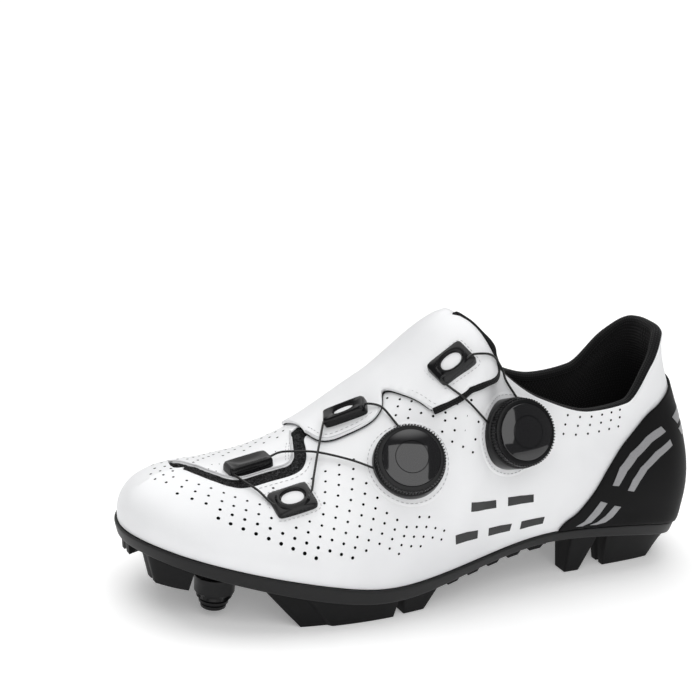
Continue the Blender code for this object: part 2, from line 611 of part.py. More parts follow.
def build_studs_and_bolts(plate):
    u = 0.813
    foot_z = float(curve_value(CURVES["sole"], np.array(u)))
    for side, word in ((1, "outer"), (-1, "inner")):
        spot = sole_point(np.array([u]), np.array([side * 0.56]), RAND_UNDERCUT, np.array([foot_z]))[0]
        drop = 2.7
        low = 4.0 - foot_z
        stud = lathe(
            f"toe_stud_{word}",
            [(0, low), (STUD_TIP_RADIUS - 1, low), (STUD_TIP_RADIUS, low + 1),
             (STUD_TIP_RADIUS + 0.6, low + 5), (STUD_RADIUS - 1.4, low + 5.6),
             (STUD_RADIUS, -drop - 2.5), (STUD_RADIUS, -drop), (0, -drop)],
            16, "stud_black",
        )
        stud.location = Vector(spot) * MM
    middle = 0.625
    x = float(outline(np.array(middle), np.array(1.0))[0])
    z = float(curve_value(CURVES["sole"], np.array(middle)))
    for row in (-1, 1):
        y = row * CLEAT_SLOT_SPACING / 2
        half, straight = CLEAT_SLOT_WIDTH / 2, (CLEAT_SLOT_LENGTH - CLEAT_SLOT_WIDTH) / 2
        ring = [
            (x + (straight if math.cos(a) > 0 else -straight) + half * math.cos(a), y + half * math.sin(a))
            for a in (math.radians(15 + 30 * k) for k in range(12))
        ]
        n = len(ring)
        points = [(px, py, z - 15) for px, py in ring] + [(px, py, z + 25) for px, py in ring]
        walls = [(k, (k + 1) % n, (k + 1) % n + n, k + n) for k in range(n)]
        slot = mesh_object(
            f"cleat_slot_{row + 2}", np.array(points) * MM,
            walls + [tuple(range(n)), tuple(range(2 * n - 1, n - 1, -1))], None,
        )
        cut(plate, slot)
        for place, word in ((-1, "back"), (1, "front")):
            bolt_x = x + place * straight * 0.62
            u_near = np.linspace(middle - 0.15, middle + 0.15, 61)
            x_near = outline(u_near, np.ones(61))[0]
            under_head = np.abs(x_near - bolt_x) < BOLT_HEAD_RADIUS + 2
            top = float(curve_value(CURVES["sole"], u_near[under_head]).min()) - GAP
            bolt = lathe(
                f"cleat_bolt_{word}_{'inner' if row < 0 else 'outer'}",
                [(0, -1.6), (2.2, -1.6), (2.2, -3.0), (BOLT_HEAD_RADIUS - 0.5, -3.0),
                 (BOLT_HEAD_RADIUS, -2.5), (BOLT_HEAD_RADIUS, 0), (BOLT_SHANK_RADIUS, 0),
                 (BOLT_SHANK_RADIUS, 4.0), (0, 4.0)],
                10, "steel",
            )
            bolt.location = Vector((bolt_x, y, top)) * MM


def surface_tree(lift):
    """The outer lattice at a lift, for setting fittings down on it."""
    points, faces = [], []
    for side in (1, -1):
        start = len(points)
        uu, qq = np.meshgrid(U_LINES, Q_LINES, indexing="ij")
        grid = shell(np.full(uu.size, side), uu.ravel(), qq.ravel(), np.full(uu.size, lift))
        points += [Vector(p) for p in grid]
        n = len(Q_LINES)
        for i in range(len(U_LINES) - 1):
            for j in range(n - 1):
                a = start + i * n + j
                corners = (a, a + n, a + n + 1, a + 1)[::-side]
                faces += [corners[:3], (corners[0], corners[2], corners[3])]
    return BVHTree.FromPolygons(points, faces)


def footed(name, centre, axes, ring, height, bevel, tree, material, shaped=True):
    """A block whose underside follows the surface below it. The ring is its outline in plan."""
    e1, e2, axis = axes
    n = len(ring)
    points, faces = [], []

    def plan(a, b, h):
        return centre + e1 * a + e2 * b + axis * h

    def down(a, b):
        hit = tree.ray_cast(plan(a, b, 30.0), -axis)[0]
        depth = (hit - centre).dot(axis) if hit is not None else -DEEPEST_FOOT
        return plan(a, b, max(depth, -DEEPEST_FOOT))

    shares = (0.35, 0.7, 1.0) if shaped else (1.0,)
    points.append(down(0, 0))
    for share in shares:
        points += [down(a * share, b * share) for a, b in ring]
    points += [plan(a, b, height - bevel) for a, b in ring]
    sizes = [math.hypot(a, b) for a, b in ring]
    points += [plan(a * (1 - bevel / s), b * (1 - bevel / s), height) for (a, b), s in zip(ring, sizes)]
    points.append(plan(0, 0, height))
    last = len(points) - 1
    for k in range(n):
        m = (k + 1) % n
        faces.append((0, 1 + m, 1 + k))
        for j in range(len(shares) + 1):
            a, b = 1 + j * n, 1 + (j + 1) * n
            faces.append((a + k, a + m, b + m, b + k))
        a = 1 + (len(shares) + 1) * n
        faces.append((a + k, a + m, last))
    return mesh_object(name, np.array([tuple(p) for p in points]) * MM, faces, material)


def round_ring(radius, steps):
    turns = [2 * math.pi * k / steps for k in range(steps)]
    return [(radius * math.cos(a), radius * math.sin(a)) for a in turns]


def rounded_ring(length, width, corner, steps):
    """Outline of a rectangle with round corners."""
    ring = []
    for cx, cy, start in ((1, 1, 0), (-1, 1, 90), (-1, -1, 180), (1, -1, 270)):
        for k in range(steps + 1):
            a = math.radians(start + 90 * k / steps)
            along = cx * (length / 2 - corner) + corner * math.cos(a)
            ring.append((along, cy * (width / 2 - corner) + corner * math.sin(a)))
    return ring


def axes_from(axis, along):
    axis = axis.normalized()
    e1 = (along - axis * along.dot(axis)).normalized()
    return e1, axis.cross(e1), axis


def shell_frame(u, q):
    one = np.ones(1)
    p = shell(one, one * u, one * q, 0 * one)[0]
    n = shell_normal(one, one * u, one * q)[0]
    du = shell_raw(one, one * (u + 0.005), one * q)[0] - shell_raw(one, one * (u - 0.005), one * q)[0]
    return Vector(p), Vector(n), Vector(du).normalized()


def build_dials(tree):
    placed = {}
    for name, u, q, axis in DIALS:
        centre, normal, du = shell_frame(u, q)
        axes = axes_from(Vector(axis), du)
        e1, e2, axis = axes
        base_ring = round_ring(DIAL_BASE_RADIUS, 24)
        probes = [tree.ray_cast(centre + e1 * a + e2 * b + axis * 30, -axis)[0] for a, b in base_ring]
        seat = max([0.0] + [(p - centre).dot(axis) for p in probes if p is not None])
        base_top = seat + DIAL_BASE_HEIGHT
        footed(f"dial_{name}_base", centre, axes, base_ring, base_top, 0.8, tree, "black_plastic")
        knob_ring = []
        for k in range(DIAL_TEETH * 2):
            r = DIAL_RADIUS - (0.7 if k % 2 else 0.0)
            a = math.pi * k / DIAL_TEETH
            knob_ring.append((r * math.cos(a), r * math.sin(a)))
        flat = BVHTree.FromPolygons(
            [centre + e1 * a + e2 * b + axis * (base_top + GAP) for a, b in
             ((-99, -99), (99, -99), (99, 99), (-99, 99))], [(0, 1, 2, 3)]
        )
        knob_top = base_top + GAP + DIAL_KNOB_HEIGHT
        footed(f"dial_{name}_knob", centre, axes, knob_ring, knob_top, 1.4, flat, "black_plastic", False)
        flat = BVHTree.FromPolygons(
            [centre + e1 * a + e2 * b + axis * (knob_top + GAP) for a, b in
             ((-99, -99), (99, -99), (99, 99), (-99, 99))], [(0, 1, 2, 3)]
        )
        footed(
            f"dial_{name}_cap", centre, axes, round_ring(DIAL_RADIUS * 0.62, 18), knob_top + GAP + 1.3, 0.6,
            flat, "black_plastic", False,
        )
        placed[name] = (centre, axes)
    return placed


def build_guides(trees):
    frames = {}
    blocks = {}
    for row in GUIDES:
        guide = dict(zip(GUIDE_NAMES, row))
        centre, normal, du = shell_frame(guide["u"], guide["q"])
        across = normal.cross(du)
        if across.z < 0:
            across = -across
        turn = math.radians(guide["turn"])
        axes = axes_from(normal, -du * math.cos(turn) + across * math.sin(turn))
        lift = FLAP_LIFT + FLAP_THICK if guide["on_flap"] else 0.0
        corner = min(guide["width"], guide["length"]) * (0.42 if guide["length"] > 17 else 0.2)
        ring = rounded_ring(guide["length"], guide["width"], corner, 3)
        frames[guide["name"]] = (centre + axes[2] * lift, axes, guide["length"])
        block = footed(
            f"guide_{guide['name']}", centre, axes, ring, lift + guide["height"], 0.8,
            trees[guide["on_flap"]], "black_plastic",
        )
        pocket = rounded_ring(guide["length"] * 0.6, guide["width"] * 0.42, guide["width"] * 0.2, 2)
        high = lift + guide["height"] + 2
        low = lift + guide["height"] - 0.9
        e1, e2, axis = axes
        n = len(pocket)
        points = [centre + e1 * a + e2 * b + axis * low for a, b in pocket]
        points += [centre + e1 * a + e2 * b + axis * high for a, b in pocket]
        walls = [(k, (k + 1) % n, (k + 1) % n + n, k + n) for k in range(n)]
        cutter = mesh_object(
            f"pocket_{guide['name']}", np.array([tuple(p) for p in points]) * MM,
            walls + [tuple(range(n)), tuple(range(2 * n - 1, n - 1, -1))], None,
        )
        cut(block, cutter)
        blocks[guide["name"]] = block
    return frames, blocks


def tube(name, path, radius, steps, material):
    """A capped tube along a line of points."""
    path = [Vector(p) for p in path]
    points, faces = [], []
    normal = None
    for i, p in enumerate(path):
        along = (path[min(i + 1, len(path) - 1)] - path[max(i - 1, 0)]).normalized()
        if normal is None:
            normal = along.orthogonal()
        normal = (normal - along * normal.dot(along)).normalized()
        other = along.cross(normal)
        for k in range(steps):
            a = 2 * math.pi * k / steps
            points.append(p + (normal * math.cos(a) + other * math.sin(a)) * radius)
    for i in range(len(path) - 1):
        for k in range(steps):
            m = (k + 1) % steps
            a, b = i * steps, (i + 1) * steps
            faces.append((a + k, a + m, b + m, b + k))
    faces.append(tuple(range(steps - 1, -1, -1)))
    faces.append(tuple(range(len(points) - steps, len(points))))
    return mesh_object(name, np.array([tuple(p) for p in points]) * MM, faces, material)


def even_path(points, spacing):
    """The smooth line resampled at an even spacing."""
    line = smoothed(points, 8)
    steps = np.linalg.norm(np.diff(line, axis=0), axis=1)
    total = np.concatenate([[0], np.cumsum(steps)])
    count = max(2, int(total[-1] / spacing))
    at = np.linspace(0, total[-1], count + 1)
    return np.stack([np.interp(at, total, line[:, k]) for k in range(3)], -1)


def build_laces(dials, frames, blocks, trees):
    for name, dial, run in LACES:
        points = []
        for entry in run:
            if isinstance(entry[0], str):
                guide, way, across, high = entry
                centre, (e1, e2, axis), length = frames[guide]
                half = length / 2 + 4.3
                for reach in (-half, -0.3 * length, 0.3 * length, half):
                    points.append(centre + e1 * way * reach + e2 * across + axis * high)
            else:
                u, q, lift = entry
                points.append(Vector(shell([1.0], [u], [q], [lift])[0]))
        centre, (e1, e2, axis) = dials[dial]
        clear = DIAL_BASE_RADIUS + LACE_RADIUS + GAP
        for end in (0, -1):
            away = points[end] - centre
            flat = away - axis * away.dot(axis)
            points[end] = points[end] + flat.normalized() * (clear - flat.length)
        path = even_path(points, 4.0)
        moved = []
        for p in path:
            p = Vector(p)
            for tree, room in ((trees[0], LACE_RADIUS + 0.35), (trees[1], LACE_RADIUS + 0.35)):
                spot, facing, _, far = tree.find_nearest(p)
                over_flap = tree is trees[1]
                if over_flap and not on_flap(p):
                    continue
                depth = (p - spot).dot(facing)
                if depth < room:
                    p = p + facing * (room - depth)
            flat = (p - centre) - axis * (p - centre).dot(axis)
            if flat.length < clear:
                p = p + flat.normalized() * (clear - flat.length)
            moved.append(p)
        tube(name, moved, LACE_RADIUS, 6, "lace_wire")
        for guide, way, across, high in [e for e in run if isinstance(e[0], str)]:
            origin, (e1, e2, axis), length = frames[guide]
            half, room = length / 2 + 4, LACE_CHANNEL_RADIUS
            corners = [
                origin + e1 * a * half + e2 * (across + b * room) + axis * (high + c * room)
                for a in (-1, 1) for b in (-1, 1) for c in (-1, 1)
            ]
            box = ((0, 1, 3, 2), (4, 6, 7, 5), (0, 4, 5, 1), (2, 3, 7, 6), (0, 2, 6, 4), (1, 5, 7, 3))
            channel = mesh_object(f"channel_{guide}", np.array([tuple(p) for p in corners]) * MM, box, None)
            cut(blocks[guide], channel)


FLAP_SPOTS = []


def on_flap(p):
    if not FLAP_SPOTS:
        inside = cells(1, FLAP_OUTER, U_LINES, Q_LINES) + cells(-1, FLAP_INNER, U_LINES, Q_LINES)
        flat = np.array([(s, u, q) for s, corners in inside for u, q in corners])
        FLAP_SPOTS.append(shell(flat[:, 0], flat[:, 1], flat[:, 2], 0 * flat[:, 0] + 2))
    return float(np.linalg.norm(FLAP_SPOTS[0] - np.array(tuple(p)), axis=1).min()) < 7.0


for old in list(bpy.data.objects):
    bpy.data.objects.remove(old, do_unlink=True)

scene = bpy.context.scene
PARTS = bpy.data.collections.new("cycling_shoe_left")
CUTTERS = bpy.data.collections.new("cutters")
CUTTERS.hide_render = True
scene.collection.children.link(PARTS)
scene.collection.children.link(CUTTERS)

build_upper()
build_overlays()
sole = build_sole()
build_lugs()
build_combs()
build_pads()
build_studs_and_bolts(sole)
skins = (surface_tree(1.7 * GAP), surface_tree(2.2 * GAP + FLAP_LIFT + FLAP_THICK))
dial_frames = build_dials(skins[0])
guide_frames, guide_blocks = build_guides(skins)
build_laces(dial_frames, guide_frames, guide_blocks, skins)

# the origin moves to the middle of the footprint, on the floor
bpy.context.view_layer.update()
graph = bpy.context.evaluated_depsgraph_get()
corners = []
for obj in PARTS.objects:
    evaluated = obj.evaluated_get(graph)
    corners += [evaluated.matrix_world @ Vector(c) for c in evaluated.bound_box]
low = Vector([min(c[i] for c in corners) for i in range(3)])
high = Vector([max(c[i] for c in corners) for i in range(3)])
shoe = bpy.data.objects.new("shoe", None)
PARTS.objects.link(shoe)
shoe.location = (-(low.x + high.x) / 2, -(low.y + high.y) / 2, -low.z)
for obj in list(PARTS.objects) + list(CUTTERS.objects):
    if obj is not shoe:
        obj.parent = shoe
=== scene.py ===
import math

import bmesh
import bpy
import numpy as np
from mathutils import Matrix, Vector
from mathutils.bvhtree import BVHTree


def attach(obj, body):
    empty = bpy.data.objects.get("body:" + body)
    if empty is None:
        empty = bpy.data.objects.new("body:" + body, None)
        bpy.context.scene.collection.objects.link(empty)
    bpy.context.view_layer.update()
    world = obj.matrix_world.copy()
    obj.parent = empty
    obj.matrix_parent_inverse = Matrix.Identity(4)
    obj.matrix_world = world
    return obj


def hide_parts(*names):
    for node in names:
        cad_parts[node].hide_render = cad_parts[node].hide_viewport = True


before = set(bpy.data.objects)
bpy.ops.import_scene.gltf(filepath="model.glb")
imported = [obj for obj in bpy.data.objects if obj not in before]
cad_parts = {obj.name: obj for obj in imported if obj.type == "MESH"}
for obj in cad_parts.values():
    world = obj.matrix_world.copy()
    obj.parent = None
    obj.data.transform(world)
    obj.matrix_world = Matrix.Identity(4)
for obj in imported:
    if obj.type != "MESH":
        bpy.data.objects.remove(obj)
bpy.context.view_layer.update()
print("stage: frame loaded,", len(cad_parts), "nodes")

shoe = {
    "length": 280.0,
    "ballWidth": 94.0,
    "instepHeight": 117.0,
    "origin": (142.098, 2.591, 0.0),   # the footprint's middle, counted from the heel
    "wall": 2.0,
    "throatWall": 1.2,
    "throatU": (0.46, 0.49),           # the wall thins out between these, towards the toe
    "throatQ": (0.54, 0.66, 0.06),     # and from here up, outer and inner side, over this much
    "collarPad": 2.6,
    "collarPadQ": (0.70, 0.93),        # where the padding starts and is full, up the wall
    "collarPadU": (0.36, 0.43),        # and where it fades out towards the front
    "collarFront": 0.49,
    "ridgeShift": 9.0,
    "ridgeStart": 100.0,
    "ridgeRun": 150.0,
}

# a section a row: feather line, sole underside, top edge, then how the wall leaves and arrives
sectionNames = "u x outer inner z sole topX half topOuter topInner flare rise lean reach".split()
sections = (
    (0.00, 9.0, 0.0, 0.0, 17.0, 11.5, 24.0, 0.0, 108.5, 108.5, 28.0, 0.40, 98.0, 0.25),
    (0.07, 15.0, 22.0, 21.5, 18.0, 12.3, 27.0, 12.0, 107.0, 108.0, 20.0, 0.40, 96.0, 0.25),
    (0.14, 34.0, 30.0, 29.0, 21.5, 15.5, 37.0, 21.0, 96.0, 99.0, 12.0, 0.40, 92.0, 0.25),
    (0.21, 60.0, 32.5, 29.5, 24.3, 18.8, 52.0, 26.0, 80.5, 82.0, 10.0, 0.40, 88.0, 0.25),
    (0.28, 88.0, 34.0, 27.0, 25.3, 20.3, 72.0, 27.0, 78.7, 79.0, 10.0, 0.40, 82.0, 0.25),
    (0.35, 112.0, 36.3, 26.5, 22.8, 17.8, 98.0, 25.5, 86.5, 87.0, 10.0, 0.40, 72.0, 0.30),
    (0.42, 134.0, 40.5, 29.5, 19.5, 14.0, 119.0, 19.0, 101.0, 102.5, 9.0, 0.42, 60.0, 0.30),
    (0.49, 156.0, 45.0, 35.0, 16.7, 10.0, 133.0, 0.0, 117.0, 117.0, 9.0, 0.44, 0.0, 0.23),
    (0.58, 182.0, 48.5, 42.0, 16.0, 8.8, 162.0, 0.0, 91.9, 91.9, 10.0, 0.46, 0.0, 0.31),
    (0.67, 208.0, 48.0, 46.0, 20.3, 12.8, 190.0, 0.0, 70.3, 70.3, 12.0, 0.50, 0.0, 0.39),
    (0.76, 233.0, 43.5, 45.5, 25.5, 18.5, 214.0, 0.0, 59.2, 59.2, 12.0, 0.55, 0.0, 0.46),
    (0.85, 257.0, 33.5, 38.0, 30.5, 24.0, 234.0, 0.0, 56.2, 56.2, 12.0, 0.60, 0.0, 0.52),
    (0.93, 273.0, 17.0, 25.0, 33.0, 27.0, 245.0, 0.0, 56.2, 56.2, 12.0, 0.60, 0.0, 0.57),
    (1.00, 280.0, -5.0, 5.0, 33.5, 27.7, 252.0, 0.0, 55.8, 55.8, 12.0, 0.60, 0.0, 0.60),
)


def splineSlopes(xs, ys, closed):
    # slopes of the smooth curve through the knots, level at both ends or joined end to end
    n = len(xs)
    h = np.diff(xs)
    d = np.diff(ys) / h
    a = np.zeros((n, n))
    b = np.zeros(n)
    for i in range(1, n - 1):
        a[i, i - 1], a[i, i], a[i, i + 1] = 1 / h[i - 1], 2 / h[i - 1] + 2 / h[i], 1 / h[i]
        b[i] = 3 * (d[i - 1] / h[i - 1] + d[i] / h[i])
    a[0, 0] = a[-1, -1] = 1
    if closed:
        a[0, 0], a[0, 1], a[0, n - 2] = 2 / h[0] + 2 / h[-1], 1 / h[0], 1 / h[-1]
        b[0] = 3 * (d[-1] / h[-1] + d[0] / h[0])
        a[-1, 0] = -1
    return np.linalg.solve(a, b)


def steadySlopes(xs, ys):
    # slopes that never overshoot a knot
    h = np.diff(xs)
    d = np.diff(ys) / h
    m = np.zeros(len(xs))
    for i in range(1, len(xs) - 1):
        if d[i - 1] * d[i] > 0:
            w0, w1 = 2 * h[i] + h[i - 1], h[i] + 2 * h[i - 1]
            m[i] = (w0 + w1) / (w0 / d[i - 1] + w1 / d[i])
    for end, (h0, h1, d0, d1) in ((0, (h[0], h[1], d[0], d[1])), (-1, (h[-1], h[-2], d[-1], d[-2]))):
        slope = ((2 * h0 + h1) * d0 - h0 * d1) / (h0 + h1)
        if slope * d0 <= 0:
            slope = 0.0
        elif d0 * d1 < 0 and abs(slope) > 3 * abs(d0):
            slope = 3 * d0
        m[end] = slope
    return m


def curveValue(curve, x):
    xs, ys, ms = curve
    x = np.clip(x, xs[0], xs[-1])
    i = np.clip(np.searchsorted(xs, x, side="right") - 1, 0, len(xs) - 2)
    h = xs[i + 1] - xs[i]
    t = (x - xs[i]) / h
    ends = ys[i] * (1 + 2 * t) * (1 - t) ** 2 + ys[i + 1] * t * t * (3 - 2 * t)
    return ends + ms[i] * h * t * (1 - t) ** 2 - ms[i + 1] * h * t * t * (1 - t)


def sectionCurves():
    table = np.array(sections)
    column = {name: table[:, i].copy() for i, name in enumerate(sectionNames)}
    for names, scale in (
        (("x", "topX"), shoe["length"] / column["x"].max()),
        (("outer", "inner", "half"), shoe["ballWidth"] / (column["outer"] + column["inner"]).max()),
        (("z", "sole", "topOuter", "topInner"), shoe["instepHeight"] / column["topOuter"].max()),
    ):
        for name in names:
            column[name] *= scale
    column["half"] = column["half"] ** 2   # squared, so that the opening is round at both its ends
    u = column["u"]
    made = {}
    for name in ("half", "topOuter", "topInner", "lean"):
        made[name] = (u, column[name], steadySlopes(u, column[name]))
    for name in ("z", "sole", "topX", "flare", "rise", "reach"):
        made[name] = (u, column[name], splineSlopes(u, column[name], False))
    loopU = np.concatenate([u, 2 - u[-2::-1]])
    loopX = np.concatenate([column["x"], column["x"][-2::-1]])
    loopY = np.concatenate([column["outer"], -column["inner"][-2::-1]])
    made["loopX"] = (loopU, loopX, splineSlopes(loopU, loopX, True))
    made["loopY"] = (loopU, loopY, splineSlopes(loopU, loopY, True))
    ridge = u >= shoe["collarFront"] - 0.001
    ridgeX, ridgeZ = column["topX"][ridge], column["topOuter"][ridge]
    made["ridge"] = (ridgeX, ridgeZ, steadySlopes(ridgeX, ridgeZ))
    return made


curves = sectionCurves()


def outline(u, side):
    # feather line in plan and its outward direction
    v = np.where(side > 0, u, 2 - u)
    step = 1e-4
    last = curves["loopX"][0][-1]
    before, after = np.mod(v - step, last), np.mod(v + step, last)
    dx = curveValue(curves["loopX"], after) - curveValue(curves["loopX"], before)
    dy = curveValue(curves["loopY"], after) - curveValue(curves["loopY"], before)
    length = np.hypot(dx, dy)
    return curveValue(curves["loopX"], v), curveValue(curves["loopY"], v), -dy / length, dx / length


def ridgeY(x):
    t = np.clip((x - shoe["ridgeStart"]) / shoe["ridgeRun"], 0, 1)
    return -shoe["ridgeShift"] * t * t * (3 - 2 * t)


def shellRaw(side, u, q):
    # the upper's outer face: a cubic rib from the feather line to the top edge at every u
    x, y, outX, outY = outline(u, side)
    foot = np.stack([x, y, curveValue(curves["z"], u)], -1)
    topX = curveValue(curves["topX"], u)
    topZ = np.where(side > 0, curveValue(curves["topOuter"], u), curveValue(curves["topInner"], u))
    half = np.sqrt(np.maximum(curveValue(curves["half"], u), 0))
    top = np.stack([topX, ridgeY(topX) + side * half, topZ], -1)
    flare = np.radians(curveValue(curves["flare"], u))
    lean = np.radians(curveValue(curves["lean"], u))
    rise = (curveValue(curves["rise"], u) * (topZ - foot[..., 2]))[..., None]
    out = np.stack([outX, outY, 0 * outX], -1)
    up = np.array([0.0, 0.0, 1.0])
    nearFoot = foot + rise * (np.sin(flare)[..., None] * out + np.cos(flare)[..., None] * up)
    ridge = curves["ridge"]
    ridgeX = np.maximum(topX, ridge[0][0] + 0.5)
    slope = curveValue(ridge, ridgeX + 0.5) - curveValue(ridge, ridgeX - 0.5)
    slope = slope * np.clip((u - 0.42) / 0.07, 0, 1)
    aim = np.stack([outX, outY, outX * slope], -1)
    aim = aim * np.cos(lean)[..., None] - up * np.sin(lean)[..., None]
    span = np.linalg.norm(top - foot, axis=-1, keepdims=True)
    nearTop = top + curveValue(curves["reach"], u)[..., None] * span * aim
    q = q[..., None]
    lowPart = (1 - q) ** 3 * foot + 3 * (1 - q) ** 2 * q * nearFoot
    return lowPart + 3 * (1 - q) * q * q * nearTop + q**3 * top


def halfNormal(side, u, q):
    step = 1e-3
    u0, u1 = np.clip(u - step, 0, 1), np.clip(u + step, 0, 1)
    q0, q1 = np.clip(q - step, 0, 1), np.clip(q + step, 0, 1)
    below = np.minimum(q, 0.985)
    du = shellRaw(side, u1, below) - shellRaw(side, u0, below)
    dq = shellRaw(side, u, q1) - shellRaw(side, u, q0)
    n = np.cross(du, dq) * -side[..., None]
    return n / np.linalg.norm(n, axis=-1, keepdims=True)


def shellNormal(side, u, q):
    # the same from both halves where they meet at heel, toe and ridge
    n = halfNormal(side, u, q)
    seam = (u < 1e-5) | (u > 1 - 1e-5) | ((q > 1 - 1e-5) & (u > shoe["collarFront"] - 1e-5))
    n = np.where(seam[..., None], n + halfNormal(-side, u, q), n)
    return n / np.linalg.norm(n, axis=-1, keepdims=True)


# soft hollows and swells of the worn-in upper: side (0 both), u, q, reach in u and q, height in mm
softMarks = (
    (1, 0.700, 0.42, 0.030, 0.30, -0.45), (1, 0.655, 0.50, 0.026, 0.25, 0.25),
    (1, 0.745, 0.35, 0.030, 0.25, 0.25), (-1, 0.690, 0.45, 0.030, 0.32, -0.45),
    (-1, 0.640, 0.50, 0.030, 0.25, 0.25), (1, 0.495, 0.40, 0.030, 0.20, -0.35),
    (1, 0.320, 0.55, 0.060, 0.22, -0.5), (-1, 0.420, 0.45, 0.070, 0.30, -0.5),
    (0, 0.170, 0.86, 0.040, 0.12, -0.4), (0, 0.900, 0.45, 0.060, 0.30, 0.3),
)


def softLift(side, u, q):
    lift = 0 * u
    for markSide, markU, markQ, reachU, reachQ, height in softMarks:
        here = 1.0 if markSide == 0 else (side == markSide)
        lift = lift + here * height * np.exp(-((u - markU) / reachU) ** 2 - ((q - markQ) / reachQ) ** 2)
    return lift * np.clip(q / 0.12, 0, 1)


def shell(side, u, q, lift):
    side, u, q = (np.asarray(a, float) for a in (side, u, q))
    return shellRaw(side, u, q) + shellNormal(side, u, q) * np.asarray(lift + 0 * u, float)[..., None]


def skin(side, u, q, lift):
    # the shell with its soft marks
    return shell(side, u, q, softLift(side, u, q) + lift)


def toFrame(points):
    return (np.asarray(points, float) - np.array(shoe["origin"])) * 0.001


def solePoint(u, t, inset, z):
    # a point across the sole: t is 1 on the outer edge and -1 on the inner edge
    ox, oy, onx, ony = outline(u, np.ones_like(u))
    ix, iy, inx, iny = outline(u, -np.ones_like(u))
    outer = np.stack([ox - inset * onx, oy - inset * ony], -1)
    inner = np.stack([ix - inset * inx, iy - inset * iny], -1)
    share = ((t + 1) / 2)[..., None]
    return np.concatenate([inner + (outer - inner) * share, np.asarray(z + 0 * u)[..., None]], -1)


def smoothed(points, steps):
    # points of a smooth open line through the given ones
    p = np.array(points, float)
    p = np.vstack([2 * p[0] - p[1], p, 2 * p[-1] - p[-2]])
    out = []
    for i in range(1, len(p) - 2):
        for k in range(steps):
            t = k / steps
            out.append(0.5 * (2 * p[i] + (p[i + 1] - p[i - 1]) * t
                              + (2 * p[i - 1] - 5 * p[i] + 4 * p[i + 1] - p[i + 2]) * t * t
                              + (3 * p[i] - p[i - 1] - 3 * p[i + 1] + p[i + 2]) * t**3))
    return np.vstack(out + [p[-2]])


def curved(points, steps):
    return [tuple(p) for p in smoothed(points, steps)]


def lengthAlong(line):
    # how far each point of a line is from its start
    return np.concatenate([[0], np.cumsum(np.linalg.norm(np.diff(line, axis=0), axis=1))])


def atLengths(line, total, at):
    return np.stack([np.interp(at, total, line[:, k]) for k in range(line.shape[1])], -1)


def evenPath(points, spacing, steps=8):
    line = smoothed(points, steps)
    total = lengthAlong(line)
    return atLengths(line, total, np.linspace(0, total[-1], max(2, int(total[-1] / spacing)) + 1))


# finishes


class Wire:
    # a socket that can stand in a sum
    def __init__(self, finish, socket):
        self.finish = finish
        self.socket = socket

    def math(self, operation, *others):
        values = {i: value for i, value in enumerate((self, *others))}
        return self.finish.add("ShaderNodeMath", {"operation": operation}, values)

    def __add__(self, other):
        return self.math("ADD", other)

    __radd__ = __add__

    def __mul__(self, other):
        return self.math("MULTIPLY", other)

    __rmul__ = __mul__

    def __sub__(self, other):
        return self.math("SUBTRACT", other)

    def __rsub__(self, other):
        return self.finish.add("ShaderNodeMath", {"operation": "SUBTRACT"}, {0: other, 1: self})

    def __truediv__(self, other):
        return self.math("DIVIDE", other)

    def __pow__(self, other):
        return self.math("POWER", other)

    def step(self, low, high):
        # 0 below low, 1 above high, smooth between
        settings = {"interpolation_type": "SMOOTHSTEP"}
        return self.finish.add("ShaderNodeMapRange", settings, {"Value": self, 1: low, 2: high})


class Finish:
    def __init__(self, name, colour, roughness, **fixed):
        self.material = bpy.data.materials.new(name)
        self.material.use_nodes = True
        self.tree = self.material.node_tree
        self.surface = self.tree.nodes["Principled BSDF"]
        self.surface.inputs["Base Color"].default_value = (*colour, 1)
        self.surface.inputs["Roughness"].default_value = roughness
        self.material.diffuse_color = (*colour, 1)
        for socket, value in fixed.items():
            self.surface.inputs[socket.replace("_", " ")].default_value = value

    def add(self, kind, settings, values, out=0):
        node = self.tree.nodes.new(kind)
        for key, value in settings.items():
            if key == "stops":
                ramp = node.color_ramp.elements
                while len(ramp) < len(value):
                    ramp.new(0.5)
                for stop, (place, colour) in zip(ramp, value):
                    stop.position = place
                    stop.color = (*colour, 1)
            else:
                setattr(node, key, value)
        for socket, value in values.items():
            if isinstance(value, Wire):
                self.tree.links.new(value.socket, node.inputs[socket])
            else:
                node.inputs[socket].default_value = value
        return Wire(self, node.outputs[out])

    def place(self, scale=(1, 1, 1), turn=0.0, uv=False):
        where = self.add("ShaderNodeTexCoord", {}, {}, "UV" if uv else "Object")
        return self.add("ShaderNodeMapping", {}, {"Vector": where, "Scale": scale, "Rotation": (0, 0, turn)})

    def axis(self, where, name):
        return self.add("ShaderNodeSeparateXYZ", {}, {"Vector": where}, name)

    def noise(self, where, scale, detail=2.0, rough=0.5):
        values = {"Vector": where, "Scale": scale, "Detail": detail, "Roughness": rough}
        return self.add("ShaderNodeTexNoise", {}, values)

    def cellsOf(self, where, scale, feature="F1", out="Distance"):
        return self.add("ShaderNodeTexVoronoi", {"feature": feature}, {"Vector": where, "Scale": scale}, out)

    def mix(self, share, low, high):
        low, high = [(*c, 1) if isinstance(c, tuple) and len(c) == 3 else c for c in (low, high)]
        return self.add("ShaderNodeMix", {"data_type": "RGBA"}, {0: share, 6: low, 7: high}, 2)

    def bump(self, height, distance, strength=1.0, under=None):
        values = {"Height": height, "Distance": distance, "Strength": strength}
        if under:
            values["Normal"] = under
        return self.add("ShaderNodeBump", {}, values)

    def feed(self, **sockets):
        for name, wire in sockets.items():
            self.tree.links.new(wire.socket, self.surface.inputs[name.replace("_", " ")])
        return self.material


